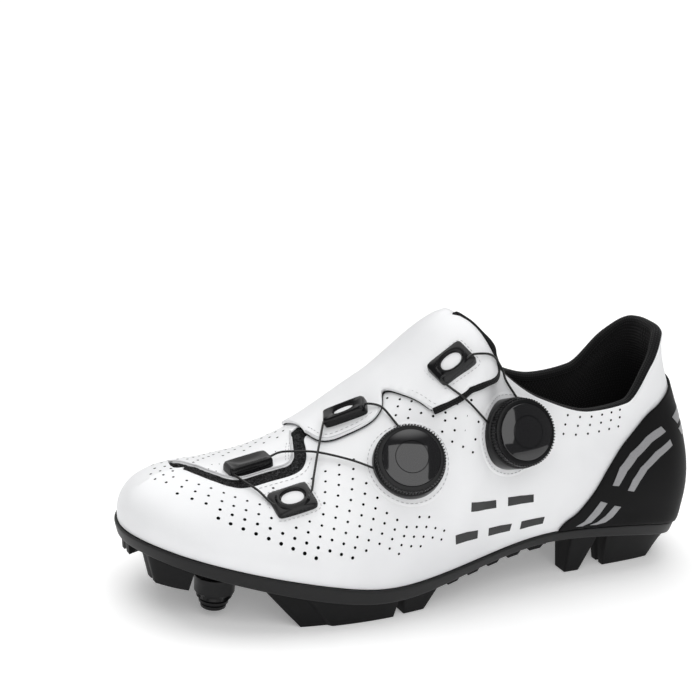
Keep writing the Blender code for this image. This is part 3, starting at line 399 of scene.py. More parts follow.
def leatherFinish(name, light, shade, roughness):
    f = Finish(name, light, roughness, Specular_IOR_Level=0.45, Coat_Weight=0.12, Coat_Roughness=0.35)
    where = f.place()
    broad = f.noise(where, 22, 3)
    grain = f.cellsOf(where, 1500)
    pores = f.noise(where, 2600, 2)
    scuff = f.noise(f.place((1, 4, 2)), 160, 4).step(0.66, 0.78)
    # painted shade: the colour turns darker towards the bottom, below 16 to 50 mm up, for the shade that
    # falls there
    paintedLowShade = 1 - f.axis(where, "Z").step(0.016, 0.050)
    tint = f.mix(broad.step(0.3, 0.75) * 0.5 + paintedLowShade * 0.35, light, shade)
    soft = f.bump(broad, 0.00045, 0.6)
    fine = f.bump(grain * 0.6 + pores * 0.4, 0.00005, 0.55, soft)
    rough = broad * 0.12 + scuff * 0.1 + (roughness - 0.08)
    return f.feed(Base_Color=tint, Roughness=rough, Normal=fine)


def knitFinish(name, light, dark, pitch):
    # rows of small loops, read from the piece's own map
    f = Finish(name, dark, 0.95, Specular_IOR_Level=0.15, Sheen_Weight=0.08, Sheen_Roughness=0.5)
    where = f.place((1000 / pitch, 1000 / pitch, 1), uv=True)
    x, y = f.axis(where, "X"), f.axis(where, "Y")
    loops = (x * 6.2832 + (y * 3.1416).math("SINE") * 1.2).math("SINE") * 0.5 + 0.5
    rows = (y * 6.2832).math("SINE") * 0.5 + 0.5
    knit = loops * rows
    fluff = f.noise(f.place(), 1800, 3)
    tint = f.mix(knit * 0.7 + fluff * 0.3, dark, light)
    return f.feed(Base_Color=tint, Normal=f.bump(knit + fluff * 0.4, pitch * 0.00022, 0.8))


def meshFinish(name):
    # open sports mesh over a dark ground
    f = Finish(name, (0.01, 0.01, 0.01), 0.85, Specular_IOR_Level=0.14)
    where = f.place()
    cell = f.cellsOf(where, 820)
    thread = cell.step(0.25, 0.62)
    speck = f.noise(where, 2400, 2)
    tint = f.mix(thread * speck.step(0.48, 0.62), (0.004, 0.004, 0.004), (0.055, 0.055, 0.058))
    return f.feed(Base_Color=tint, Normal=f.bump(thread, 0.00028, 0.9))


def mouldedFinish(name, colour, roughness, grain, coat=0.0, wear=0.25, shine=0.5):
    f = Finish(name, colour, roughness, Coat_Weight=coat, Coat_Roughness=0.05, Specular_IOR_Level=shine)
    where = f.place()
    cloud = f.noise(where, 60, 4)
    fine = f.noise(where, 1500, 3)
    lighter = tuple(min(1.0, c * 1.9 + 0.006) for c in colour)
    dust = f.noise(where, 320, 5, 0.65).step(0.52, 0.8)
    tint = f.mix(cloud * 0.35 + dust * wear, colour, lighter)
    rough = cloud * 0.14 + dust * wear * 0.3 + (roughness - 0.07)
    return f.feed(Base_Color=tint, Roughness=rough, Normal=f.bump(fine, grain, 0.6))


def weaveFinish(name):
    # a two-by-two twill under a clear coat
    f = Finish(name, (0.012, 0.012, 0.013), 0.3, Coat_Weight=0.8, Coat_Roughness=0.08)
    where = f.place((1, 1, 1), 0.7854)
    x, y = f.axis(where, "X") * 420, f.axis(where, "Y") * 420
    step = (x.math("FLOOR") + y.math("FLOOR")) * 0.25
    over = (step - step.math("FLOOR")).step(0.45, 0.55)
    bowX = ((x - x.math("FLOOR")) * 3.1416).math("SINE")
    bowY = ((y - y.math("FLOOR")) * 3.1416).math("SINE")
    tow = bowX * over + bowY * (1 - over)
    tint = f.mix(over * 0.6 + tow * 0.4, (0.006, 0.006, 0.007), (0.055, 0.056, 0.06))
    return f.feed(Base_Color=tint, Roughness=0.42 - over * 0.2, Normal=f.bump(tow, 0.00012, 0.7))


def glossFinish(name):
    coat = {"Coat_Weight": 0.6, "Coat_Roughness": 0.02}
    f = Finish(name, (0.005, 0.005, 0.006), 0.09, Specular_IOR_Level=0.4, **coat)
    where = f.place()
    hair = f.noise(f.place((1, 9, 3)), 700, 3).step(0.6, 0.85)
    cloud = f.noise(where, 140, 3)
    return f.feed(Roughness=cloud * 0.05 + hair * 0.12 + 0.05, Normal=f.bump(cloud, 0.00001, 0.15))


def barFinish(name, colour, sparkle):
    # printed film with tiny beads
    f = Finish(name, colour, 0.42, Metallic=0.15, Specular_IOR_Level=0.6)
    where = f.place()
    beads = f.cellsOf(where, 2600)
    cloud = f.noise(where, 120, 4)
    dark = tuple(c * 0.62 for c in colour)
    tint = f.mix(beads * sparkle + cloud * 0.4, colour, dark)
    return f.feed(Base_Color=tint, Roughness=cloud * 0.2 + 0.3, Normal=f.bump(beads, 0.00003, 0.5))


def steelFinish(name):
    f = Finish(name, (0.2, 0.2, 0.205), 0.32, Metallic=1.0)
    where = f.place()
    turned = f.noise(f.place((1, 1, 12)), 900, 3)
    rub = f.noise(where, 260, 4)
    tint = f.mix(rub.step(0.45, 0.75), (0.10, 0.10, 0.105), (0.34, 0.34, 0.35))
    return f.feed(Base_Color=tint, Roughness=turned * 0.2 + 0.22, Normal=f.bump(turned, 0.00003, 0.5))


finishes = {
    "white": leatherFinish("white_microfibre", (0.87, 0.875, 0.885), (0.74, 0.745, 0.76), 0.46),
    # the rolled edge: the white microfibre again, painted grey for the shade on its roll
    "edge": leatherFinish("rolled_edge_painted_shade", (0.60, 0.60, 0.61), (0.42, 0.42, 0.43), 0.6),
    "stitch": mouldedFinish("grey_thread", (0.42, 0.42, 0.43), 0.7, 0.00006),
    "hole": mouldedFinish("punched_hole_dark", (0.004, 0.004, 0.004), 0.95, 0.00002, 0.0, 0.1, 0.05),
    "knit": knitFinish("collar_knit_black", (0.022, 0.022, 0.023), (0.004, 0.004, 0.004), 1.1),
    "lining": knitFinish("lining_cloth_black", (0.016, 0.016, 0.017), (0.004, 0.004, 0.004), 1.6),
    "mesh": meshFinish("tongue_mesh_black"),
    "counter": mouldedFinish("counter_black", (0.004, 0.004, 0.0043), 0.5, 0.00006, 0.0, 0.1, 0.08),
    "bar": barFinish("counter_bar_reflective", (0.33, 0.33, 0.34), 0.5),
    "dash": barFinish("side_dash_grey", (0.011, 0.011, 0.012), 0.8),
    "band": mouldedFinish("sole_side_grey", (0.008, 0.008, 0.0084), 0.42, 0.00003, 0.0, 0.15, 0.22),
    "plate": mouldedFinish("sole_nylon_black", (0.010, 0.010, 0.011), 0.28, 0.00002, 0.3, 0.15),
    "weave": weaveFinish("sole_carbon_twill"),
    "rubber": mouldedFinish("tread_rubber_black", (0.0050, 0.0050, 0.0053), 0.55, 0.00008, 0.0, 0.30, 0.13),
    "gloss": glossFinish("dial_gloss_black"),
    "plastic": mouldedFinish("dial_ring_black", (0.004, 0.004, 0.0045), 0.30, 0.00003, 0.06, 0.2, 0.20),
    "guide": mouldedFinish("guide_black", (0.0035, 0.0035, 0.004), 0.20, 0.00002, 0.10, 0.12, 0.22),
    "wire": mouldedFinish("lace_coat_black", (0.006, 0.006, 0.006), 0.35, 0.00002, 0.2, 0.1, 0.3),
    "steel": steelFinish("bolt_steel"),
    "floor": mouldedFinish("studio_floor", (0.93, 0.93, 0.93), 0.7, 0.00001, 0.0, 0.0),
}
print("stage: finishes made")


# mesh helpers


def newObject(name, data):
    made = bpy.data.objects.new(name, data)
    bpy.context.scene.collection.objects.link(made)
    return made


def plainMesh(holder):
    # an object's mesh with its modifiers applied
    bpy.context.view_layer.update()
    graph = bpy.context.evaluated_depsgraph_get()
    return bpy.data.meshes.new_from_object(holder.evaluated_get(graph))


def finishPiece(name, mesh, nodes=(), angle=40, materials=()):
    for key in materials:
        mesh.materials.append(finishes[key])
    mesh.shade_smooth()
    mesh.set_sharp_from_angle(angle=math.radians(angle))
    piece = newObject(name, mesh)
    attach(piece, "root")
    if nodes:
        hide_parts(*nodes)
    return piece


def meshFrom(name, points, faces, slots=None, uvs=None, tidy=True):
    # points in metres, uvs one pair for every point
    mesh = bpy.data.meshes.new(name)
    mesh.from_pydata([tuple(p) for p in points], [], [tuple(int(i) for i in f) for f in faces])
    if slots is not None:
        mesh.polygons.foreach_set("material_index", np.array(slots, np.int32))
    if uvs is not None:
        layer = mesh.uv_layers.new(name="piece")
        loops = np.zeros(len(mesh.loops), np.int32)
        mesh.loops.foreach_get("vertex_index", loops)
        layer.data.foreach_set("uv", np.asarray(uvs, np.float32)[loops].ravel())
    if tidy:
        bm = bmesh.new()
        bm.from_mesh(mesh)
        bmesh.ops.recalc_face_normals(bm, faces=bm.faces[:])
        bm.to_mesh(mesh)
        bm.free()
    return mesh


def patternCells(side, corners, uLines, qLines):
    # cuts a flat outline along the lattice lines
    bm = bmesh.new()
    bm.faces.new([bm.verts.new((u, q, 0)) for u, q in corners])
    low = [min(c[i] for c in corners) for i in (0, 1)]
    high = [max(c[i] for c in corners) for i in (0, 1)]
    for k, axis, lines in ((0, Vector((1, 0, 0)), uLines), (1, Vector((0, 1, 0)), qLines)):
        for value in lines:
            if low[k] < value < high[k]:
                bmesh.ops.bisect_plane(
                    bm, geom=bm.verts[:] + bm.edges[:] + bm.faces[:], dist=1e-5,
                    plane_co=axis * float(value), plane_no=axis
                )
    bmesh.ops.remove_doubles(bm, verts=bm.verts[:], dist=1e-4)
    found = [(side, [(v.co.x, v.co.y) for v in face.verts]) for face in bm.faces]
    bm.free()
    return found


def gridCells(side, aLines, bLines):
    cells = []
    for a0, a1 in zip(aLines, aLines[1:]):
        for b0, b1 in zip(bLines, bLines[1:]):
            cells.append((side, [(a0, b0), (a1, b0), (a1, b1), (a0, b1)]))
    return cells


def sheetMesh(name, pieces, low, high, bulge=0.4, rimSteps=3, square=1.0):
    # a closed sheet between two faces over pattern cells, with a rounded edge.
    # material slots: 0 top, 1 underside, 2 edge
    bm = bmesh.new()
    keys = [bm.verts.layers.float.new(k) for k in ("side", "u", "q")]
    flat = np.array([(side, u, q) for side, corners in pieces for u, q in corners])
    middle = toFrame((low(*flat.T) + high(*flat.T)) / 2)
    i = 0
    for side, corners in pieces:
        verts = []
        for u, q in corners:
            v = bm.verts.new(middle[i])
            for layer, value in zip(keys, (side, u, q)):
                v[layer] = value
            verts.append(v)
            i += 1
        bm.faces.new(verts)
    bmesh.ops.remove_doubles(bm, verts=bm.verts[:], dist=4e-6)
    bmesh.ops.dissolve_degenerate(bm, dist=1e-6, edges=bm.edges[:])
    bmesh.ops.recalc_face_normals(bm, faces=bm.faces[:])
    bm.verts.index_update()
    values = np.array([[v[layer] for layer in keys] for v in bm.verts])
    tops, bottoms = toFrame(high(*values.T)), toFrame(low(*values.T))
    count = len(tops)
    faces = [[v.index for v in face.verts] for face in bm.faces]
    solid = [list(f) for f in faces] + [[i + count for i in reversed(f)] for f in faces]
    slots = [0] * len(faces) + [1] * len(faces)
    across = tops - bottoms
    thick = np.linalg.norm(across, axis=1, keepdims=True)
    across = across / np.maximum(thick, 1e-9)
    centre = (tops + bottoms) / 2
    out = np.zeros_like(tops)
    rim = []
    for edge in bm.edges:
        if len(edge.link_faces) != 1:
            continue
        a, b = (v.index for v in edge.verts)
        inside = np.mean([centre[v.index] for v in edge.link_faces[0].verts], axis=0)
        away = np.cross(centre[b] - centre[a], across[a] + across[b])
        away = away / max(np.linalg.norm(away), 1e-12)
        if np.dot(away, (centre[a] + centre[b]) / 2 - inside) < 0:
            away = -away
        out[a] += away
        out[b] += away
        rim.append((a, b))
    bm.free()
    out = out / np.maximum(np.linalg.norm(out, axis=1, keepdims=True), 1e-9)
    onRim = sorted({i for pair in rim for i in pair})
    points = [tops, bottoms]
    ringIndex = {}
    start = 2 * count
    for k in range(1, rimSteps + 1):
        turn = math.pi * k / (rimSteps + 1)
        push = math.sin(turn) ** square * bulge * 0.001
        rise = math.copysign(abs(math.cos(turn)) ** square, math.cos(turn))
        ring = centre[onRim] + across[onRim] * thick[onRim] / 2 * rise + out[onRim] * push
        points.append(ring)
        ringIndex[k] = {v: start + j for j, v in enumerate(onRim)}
        start += len(onRim)
    ringIndex[0] = {v: v for v in onRim}
    ringIndex[rimSteps + 1] = {v: v + count for v in onRim}
    for a, b in rim:
        for k in range(rimSteps + 1):
            upper, lower = ringIndex[k], ringIndex[k + 1]
            solid.append([upper[a], upper[b], lower[b], lower[a]])
            slots.append(2)
    uvs = np.zeros((start, 2))
    flatUv = np.stack([values[:, 1] * 0.30 * np.sign(values[:, 0] + 0.5), values[:, 2] * 0.09], -1)
    uvs[:count] = flatUv
    uvs[count:2 * count] = flatUv
    for k in range(1, rimSteps + 1):
        for v in onRim:
            uvs[ringIndex[k][v]] = flatUv[v]
    return meshFrom(name, np.vstack(points), solid, slots, uvs)


def tubeMesh(name, path, radii, steps, closed=False, frames=None):
    # a tube along points in mm, with one pair of radii (across, up) for all or for each point
    path = np.asarray(path, float)
    n = len(path)
    radii = np.broadcast_to(np.asarray(radii, float), (n, 2))
    if frames is None:
        ahead = np.roll(path, -1, 0) if closed else np.vstack([path[1:], path[-1:] * 2 - path[-2:-1]])
        behind = np.roll(path, 1, 0) if closed else np.vstack([path[:1] * 2 - path[1:2], path[:-1]])
        along = ahead - behind
        along /= np.linalg.norm(along, axis=1, keepdims=True)
        first = Vector(along[0]).orthogonal().normalized()
        frames = []
        for k in range(n):
            t = Vector(along[k])
            first = (first - t * first.dot(t)).normalized()
            frames.append((np.array(first), np.array(t.cross(first))))
    angles = np.linspace(0, 2 * math.pi, steps, endpoint=False)
    points = []
    for middle, (a, b), (across, up) in zip(path, frames, radii):
        points.append(middle + np.outer(np.cos(angles) * across, a) + np.outer(np.sin(angles) * up, b))
    points = np.vstack(points)
    faces = []
    for k in range(n if closed else n - 1):
        m = (k + 1) % n
        for j in range(steps):
            i = (j + 1) % steps
            faces.append((k * steps + j, k * steps + i, m * steps + i, m * steps + j))
    if not closed:
        faces.append(tuple(range(steps - 1, -1, -1)))
        faces.append(tuple(range((n - 1) * steps, n * steps)))
    far = lengthAlong(path)
    uvs = np.stack([np.repeat(far, steps) * 0.001, np.tile(angles, n) * radii.mean() * 0.001], -1)
    return meshFrom(name, toFrame(points), faces, None, uvs)


def lathePoints(profile, steps):
    # a turned solid about Z from (radius, height) pairs that start and end on the axis
    points, faces = [(0, 0, profile[0][1])], []
    rings = profile[1:-1]
    for ring in rings:
        for k in range(steps):
            a = 2 * math.pi * k / steps
            r = ring[0]
            if len(ring) > 2:   # six-sided
                r = r * math.cos(math.pi / 6) / math.cos((a + math.pi / 6) % (math.pi / 3) - math.pi / 6)
            points.append((r * math.cos(a), r * math.sin(a), ring[1]))
    points.append((0, 0, profile[-1][1]))
    last = len(points) - 1
    for k in range(steps):
        n = (k + 1) % steps
        faces.append((0, 1 + n, 1 + k))
        for j in range(len(rings) - 1):
            a, b = 1 + j * steps, 1 + (j + 1) * steps
            faces.append((a + k, a + n, b + n, b + k))
        a = 1 + (len(rings) - 1) * steps
        faces.append((a + k, a + n, last))
    return np.array(points, float), faces


def inAxes(points, centre, axes):
    e1, e2, axis = (np.array(a) for a in axes)
    points = np.asarray(points, float)
    return np.array(centre) + points[:, :1] * e1 + points[:, 1:2] * e2 + points[:, 2:] * axis


# node trees for what repeats


def newTree(name, sockets):
    tree = bpy.data.node_groups.new(name, "GeometryNodeTree")
    tree.interface.new_socket("Geometry", in_out="INPUT", socket_type="NodeSocketGeometry")
    for label, kind, value in sockets:
        made = tree.interface.new_socket(label, in_out="INPUT", socket_type=kind)
        if value is not None:
            made.default_value = value
    tree.interface.new_socket("Geometry", in_out="OUTPUT", socket_type="NodeSocketGeometry")
    return tree, tree.nodes.new("NodeGroupInput"), tree.nodes.new("NodeGroupOutput")


def endTree(tree, source, outlet, geometry):
    realize = tree.nodes.new("GeometryNodeRealizeInstances")
    paint = tree.nodes.new("GeometryNodeSetMaterial")
    tree.links.new(geometry, realize.inputs[0])
    tree.links.new(realize.outputs[0], paint.inputs["Geometry"])
    tree.links.new(source.outputs["Finish"], paint.inputs["Material"])
    tree.links.new(paint.outputs[0], outlet.inputs[0])


def stitchTree():
    # oval threads end to end along every edge line
    tree, source, outlet = newTree("stitch_row", (
        ("Pitch", "NodeSocketFloat", 0.0026), ("Length", "NodeSocketFloat", 0.0018),
        ("Thick", "NodeSocketFloat", 0.00032), ("Finish", "NodeSocketMaterial", None),
    ))
    line = tree.nodes.new("GeometryNodeMeshToCurve")
    spots = tree.nodes.new("GeometryNodeCurveToPoints")
    spots.mode = "LENGTH"
    thread = tree.nodes.new("GeometryNodeMeshUVSphere")
    thread.inputs["Segments"].default_value = 8
    thread.inputs["Rings"].default_value = 5
    thread.inputs["Radius"].default_value = 0.5
    size = tree.nodes.new("ShaderNodeCombineXYZ")
    put = tree.nodes.new("GeometryNodeInstanceOnPoints")
    tree.links.new(source.outputs["Geometry"], line.inputs[0])
    tree.links.new(line.outputs[0], spots.inputs["Curve"])
    tree.links.new(source.outputs["Pitch"], spots.inputs["Length"])
    for socket, value in ((0, "Thick"), (1, "Thick"), (2, "Length")):
        tree.links.new(source.outputs[value], size.inputs[socket])
    tree.links.new(spots.outputs["Points"], put.inputs["Points"])
    tree.links.new(spots.outputs["Rotation"], put.inputs["Rotation"])
    tree.links.new(thread.outputs[0], put.inputs["Instance"])
    tree.links.new(size.outputs[0], put.inputs["Scale"])
    endTree(tree, source, outlet, put.outputs[0])
    return tree


def spotTree():
    # one low dome or flat disc on every point, facing the way its attribute says
    tree, source, outlet = newTree("spot_field", (
        ("Sides", "NodeSocketInt", 12), ("Rise", "NodeSocketFloat", 0.0),
        ("Finish", "NodeSocketMaterial", None),
    ))
    disc = tree.nodes.new("GeometryNodeMeshCone")
    disc.inputs["Radius Top"].default_value = 0.32
    disc.inputs["Radius Bottom"].default_value = 0.5
    facing = tree.nodes.new("GeometryNodeInputNamedAttribute")
    facing.data_type = "FLOAT_VECTOR"
    facing.inputs["Name"].default_value = "facing"
    width = tree.nodes.new("GeometryNodeInputNamedAttribute")
    width.data_type = "FLOAT"
    width.inputs["Name"].default_value = "width"
    turn = tree.nodes.new("FunctionNodeAlignRotationToVector")
    turn.axis = "Z"
    put = tree.nodes.new("GeometryNodeInstanceOnPoints")
    tree.links.new(source.outputs["Sides"], disc.inputs["Vertices"])
    tree.links.new(source.outputs["Rise"], disc.inputs["Depth"])
    tree.links.new(facing.outputs["Attribute"], turn.inputs["Vector"])
    tree.links.new(source.outputs["Geometry"], put.inputs["Points"])
    tree.links.new(disc.outputs[0], put.inputs["Instance"])
    tree.links.new(turn.outputs[0], put.inputs["Rotation"])
    tree.links.new(width.outputs["Attribute"], put.inputs["Scale"])
    endTree(tree, source, outlet, put.outputs[0])
    return tree


def knurlTree():
    # teeth round a circle
    tree, source, outlet = newTree("knurl_ring", (
        ("Count", "NodeSocketInt", 80), ("Radius", "NodeSocketFloat", 0.0148),
        ("Tooth", "NodeSocketVector", (0.0008, 0.0006, 0.003)), ("Finish", "NodeSocketMaterial", None),
    ))
    circle = tree.nodes.new("GeometryNodeCurvePrimitiveCircle")
    spots = tree.nodes.new("GeometryNodeCurveToPoints")
    spots.mode = "COUNT"
    tooth = tree.nodes.new("GeometryNodeMeshCylinder")
    tooth.inputs["Vertices"].default_value = 6
    tooth.inputs["Radius"].default_value = 0.5
    tooth.inputs["Depth"].default_value = 1.0
    put = tree.nodes.new("GeometryNodeInstanceOnPoints")
    tree.links.new(source.outputs["Radius"], circle.inputs["Radius"])
    tree.links.new(circle.outputs[0], spots.inputs["Curve"])
    tree.links.new(source.outputs["Count"], spots.inputs["Count"])
    tree.links.new(spots.outputs["Points"], put.inputs["Points"])
    tree.links.new(tooth.outputs[0], put.inputs["Instance"])
    tree.links.new(source.outputs["Tooth"], put.inputs["Scale"])
    endTree(tree, source, outlet, put.outputs[0])
    return tree


trees = {"stitch": stitchTree(), "spot": spotTree(), "knurl": knurlTree()}


def grown(name, seed, tree, values):
    # runs a tree on a seed mesh and gives back its plain mesh
    holder = newObject(name + "_seed", seed)
    modifier = holder.modifiers.new("grow", "NODES")
    modifier.node_group = tree
    for item in tree.interface.items_tree:
        if item.in_out == "INPUT" and item.name in values:
            modifier[item.identifier] = values[item.name]
    mesh = plainMesh(holder)
    mesh.name = name
    holder.modifiers.clear()
    bpy.data.objects.remove(holder, do_unlink=True)
    return mesh


def stitchRows(name, rows, pitch, length, thick):
    # rows are lists of points, and all is in mm
    points, edges = [], []
    for row in rows:
        start = len(points)
        points += list(toFrame(row))
        edges += [(start + k, start + k + 1) for k in range(len(row) - 1)]
    seed = bpy.data.meshes.new(name + "_line")
    seed.from_pydata([tuple(p) for p in points], edges, [])
    values = {"Pitch": pitch / 1000, "Length": length / 1000, "Thick": thick / 1000}
    mesh = grown(name, seed, trees["stitch"], {**values, "Finish": finishes["stitch"]})
    return finishPiece(name, mesh, angle=80)


def spotField(name, points, facings, widths, finish, sides=12, rise=0.0):
    seed = bpy.data.meshes.new(name + "_points")
    seed.from_pydata([tuple(p) for p in toFrame(points)], [], [])
    facing = seed.attributes.new("facing", "FLOAT_VECTOR", "POINT")
    facing.data.foreach_set("vector", np.asarray(facings, np.float32).ravel())
    width = seed.attributes.new("width", "FLOAT", "POINT")
    width.data.foreach_set("value", np.asarray(widths, np.float32) / 1000)
    mesh = grown(name, seed, trees["spot"], {"Sides": sides, "Rise": rise, "Finish": finishes[finish]})
    return finishPiece(name, mesh, angle=30)


# the upper and its pattern pieces

pattern = {
    "uLines": np.linspace(0, 1, 141),
    "qLines": np.linspace(0, 1, 37),
    # the front panel's top edge: the open gap's lower side, then under the flap to the opening
    "panel": ((0.988, 1.0), (0.957, 0.933), (0.939, 0.904), (0.921, 0.874), (0.888, 0.829), (0.861, 0.785),
              (0.840, 0.752), (0.823, 0.728), (0.808, 0.713), (0.790, 0.718), (0.772, 0.731), (0.748, 0.743),
              (0.729, 0.746), (0.715, 0.762), (0.706, 0.815), (0.7015, 0.900), (0.699, 0.965),
              (0.690, 0.990), (0.660, 0.982), (0.600, 0.950), (0.510, 0.710), (0.460, 0.800), (0.440, 1.0)),
    "gapPoints": 17,   # how many of them run along the gap
    # the gap's upper side
    "tab": ((0.946, 1.0), (0.925, 0.969), (0.906, 0.938), (0.871, 0.886), (0.847, 0.846), (0.828, 0.815),
            (0.810, 0.806), (0.791, 0.817), (0.770, 0.831), (0.748, 0.836), (0.735, 0.835), (0.727, 0.852),
            (0.722, 0.890), (0.719, 0.950), (0.716, 1.0)),
    "tabInner": ((0.716, 1.0), (0.709, 0.94), (0.699, 0.87), (0.66, 0.83), (0.62, 0.82), (0.55, 0.82),
                 (0.47, 0.86), (0.45, 1.0)),
    # the gap's tip past the ridge, on the inner side
    "gapPanel": ((0.984, 0.955), (0.968, 0.903), (0.954, 0.866), (0.942, 0.826), (0.929, 0.788)),
    "gapEnd": (0.909, 0.733),
    "gapTab": ((0.908, 0.753), (0.912, 0.812), (0.916, 0.844), (0.922, 0.877), (0.929, 0.914),
               (0.939, 0.954)),
    "gapFill": -0.55,
    "gapInner": ((0.688, 1.0), (0.688, 0.85), (0.699, 0.85), (0.709, 0.93), (0.718, 1.0)),
    "flapOuter": ((0.692, 1.0), (0.683, 0.900), (0.669, 0.848), (0.648, 0.820), (0.625, 0.794),
                  (0.611, 0.792), (0.601, 0.822), (0.597, 0.875), (0.593, 0.897), (0.587, 0.878),
                  (0.578, 0.818), (0.568, 0.755), (0.557, 0.688), (0.548, 0.634), (0.543, 0.612),
                  (0.535, 0.600), (0.520, 0.584), (0.502, 0.580), (0.482, 0.612), (0.464, 0.700),
                  (0.448, 0.815), (0.439, 0.900), (0.437, 1.0)),
    "strapStart": 14,   # the point of them where the strap's black edge starts
    "flapInner": ((0.437, 1.0), (0.437, 0.70), (0.455, 0.50), (0.50, 0.40), (0.58, 0.42), (0.65, 0.50),
                  (0.680, 0.70), (0.692, 1.0)),
    "tongueOuter": ((0.49, 1.0), (0.49, 0.64), (0.58, 0.62), (0.70, 0.62), (0.80, 0.60), (0.88, 0.66),
                    (0.960, 0.82), (0.985, 1.0)),
    "tongueInner": ((0.985, 1.0), (0.955, 0.68), (0.90, 0.66), (0.86, 0.78), (0.80, 0.82), (0.70, 0.74),
                    (0.60, 0.72), (0.49, 0.74), (0.49, 1.0)),
    "counter": ((0.276, 0.012), (0.268, 0.07), (0.254, 0.135), (0.238, 0.29), (0.226, 0.46), (0.206, 0.63),
                (0.176, 0.69), (0.132, 0.675), (0.088, 0.67), (0.045, 0.69), (0.0, 0.71)),
    "rimQ": 0.990,
    "flapLift": 0.55,
    "flapFrontLift": 0.6,
    "flapThick": 1.5,
    "counterLift": 0.3,
    "counterThick": 1.0,
}
gapTip = [*pattern["gapPanel"], pattern["gapEnd"], *pattern["gapTab"]]


def between(low, high, share):
    return low + (high - low) * share


def smoothStep(x, low, high):
    t = np.clip((x - low) / (high - low), 0, 1)
    return t * t * (3 - 2 * t)


def wallAt(side, u, q):
    # thicker at the padded collar and thinner round the throat
    padStart, padEnd = shoe["collarPadU"]
    collar = smoothStep(q, *shoe["collarPadQ"]) * np.clip((padEnd - u) / (padEnd - padStart), 0, 1)
    outerQ, innerQ, over = shoe["throatQ"]
    throatQ = np.where(side > 0, outerQ, innerQ)
    throat = smoothStep(u, *shoe["throatU"]) * smoothStep(q, throatQ, throatQ + over)
    return shoe["wall"] + shoe["collarPad"] * collar - (shoe["wall"] - shoe["throatWall"]) * throat


def flapBase(u):
    return pattern["flapLift"] + pattern["flapFrontLift"] * np.clip((0.505 - u) / 0.05, 0, 1)


def makeUpper():
    uLines, qLines = pattern["uLines"], pattern["qLines"]
    roof = [(0.44, 0.990), (0.36, pattern["rimQ"]), (0.0, pattern["rimQ"])]
    low = [(0, 0), (1, 0), (1, 1)]
    panel, tab = curved(pattern["panel"][:-1], 3), curved(pattern["tab"], 3)
    outer = patternCells(1, low + panel + roof, uLines, qLines)
    outer += patternCells(1, tab[::-1], uLines, qLines)
    innerTop = [panel[0], *gapTip, tab[0]] + curved(pattern["tabInner"][:-1], 6)
    inner = patternCells(-1, low + innerTop + roof, uLines, qLines)
    mesh = sheetMesh(
        "upper_shell", outer + inner,
        lambda s, u, q: skin(s, u, q, -wallAt(s, u, q)), lambda s, u, q: skin(s, u, q, 0.0), 0.25,
    )
    finishPiece("upper_shell", mesh, ["upper"], 50, ("white", "lining", "white"))


def makeFlap():
    uLines, qLines = pattern["uLines"], pattern["qLines"]
    cells = patternCells(1, curved(pattern["flapOuter"], 3), uLines, qLines)
    cells += patternCells(-1, roundedCorners(pattern["flapInner"]), uLines, qLines)

    def low(s, u, q):
        return shell(s, u, q, flapBase(u))

    def high(s, u, q):
        swell = 0.35 * np.exp(-((u - 0.56) / 0.07) ** 2 - ((q - 0.95) / 0.25) ** 2)
        return shell(s, u, q, flapBase(u) + pattern["flapThick"] + swell)

    mesh = sheetMesh("wrap_flap_cover", cells, low, high, 0.5, 4)
    finishPiece("wrap_flap_cover", mesh, ["wrap_flap"], 50, ("white", "mesh", "white"))


def roundedCorners(points, steps=3):
    # keeps the ends and rounds the corners between them a little
    p = [np.array(c, float) for c in points]
    out = [p[0]]
    for a, b, c in zip(p, p[1:], p[2:]):
        first, last = b + (a - b) * 0.3, b + (c - b) * 0.3
        for k in range(steps + 1):
            t = k / steps
            out.append(first * (1 - t) ** 2 + b * 2 * t * (1 - t) + last * t * t)
    return [tuple(c) for c in out + [p[-1]]]


def makeTongue():
    cells = []
    for side, key in ((1, "tongueOuter"), (-1, "tongueInner")):
        cells += patternCells(side, pattern[key], pattern["uLines"], pattern["qLines"][::2])
    mesh = sheetMesh(
        "tongue_pad", cells, lambda s, u, q: shell(s, u, q, -3.6),
        lambda s, u, q: shell(s, u, q, -1.75 + 0.25 * np.sin(q * 40) * np.sin(u * 60)), 0.6, 4,
    )
    piece = finishPiece("tongue_pad", mesh, ["tongue"], 50, ("mesh", "lining", "mesh"))


def makeGapKnit():
    # the tongue's knit fills the open gap almost to the skin
    uLines, qLines = pattern["uLines"], pattern["qLines"]
    line = curved(pattern["panel"][:pattern["gapPoints"]], 3) + [(0.693, 1.0)]
    tab = curved(pattern["tab"], 3)
    cells = patternCells(1, line + tab[::-1], uLines, qLines)
    cells += patternCells(-1, [line[0], *gapTip, tab[0]], uLines, qLines)
    cells += patternCells(-1, pattern["gapInner"], uLines, qLines)

    def high(s, u, q):
        return skin(s, u, q, pattern["gapFill"] + 0.12 * np.sin(q * 90) * np.sin(u * 150))

    mesh = sheetMesh("gap_knit", cells, lambda s, u, q: skin(s, u, q, -2.9), high, 0.25, 2)
    finishPiece("gap_knit", mesh, (), 60, ("mesh",) * 3)


def counterLedge(u, q):
    # the counter thickens into a low ledge over the sole
    return 0.9 * np.exp(-((q - 0.02) / 0.05) ** 2) * (1 - smoothStep(u, 0.16, 0.24))


def makeCounter():
    edge = [(0.0, pattern["counter"][0][1])] + curved(pattern["counter"], 5)
    cells = []
    for side in (1, -1):
        cells += patternCells(side, edge, pattern["uLines"], pattern["qLines"])
    base, thick = pattern["counterLift"], pattern["counterThick"]

    def high(s, u, q):
        return shell(s, u, q, base + thick + counterLedge(u, q))

    mesh = sheetMesh("heel_counter_cup", cells, lambda s, u, q: shell(s, u, q, base), high, 0.45, 4)
    finishPiece("heel_counter_cup", mesh, ["heel_counter"], 50, ("counter",) * 3)


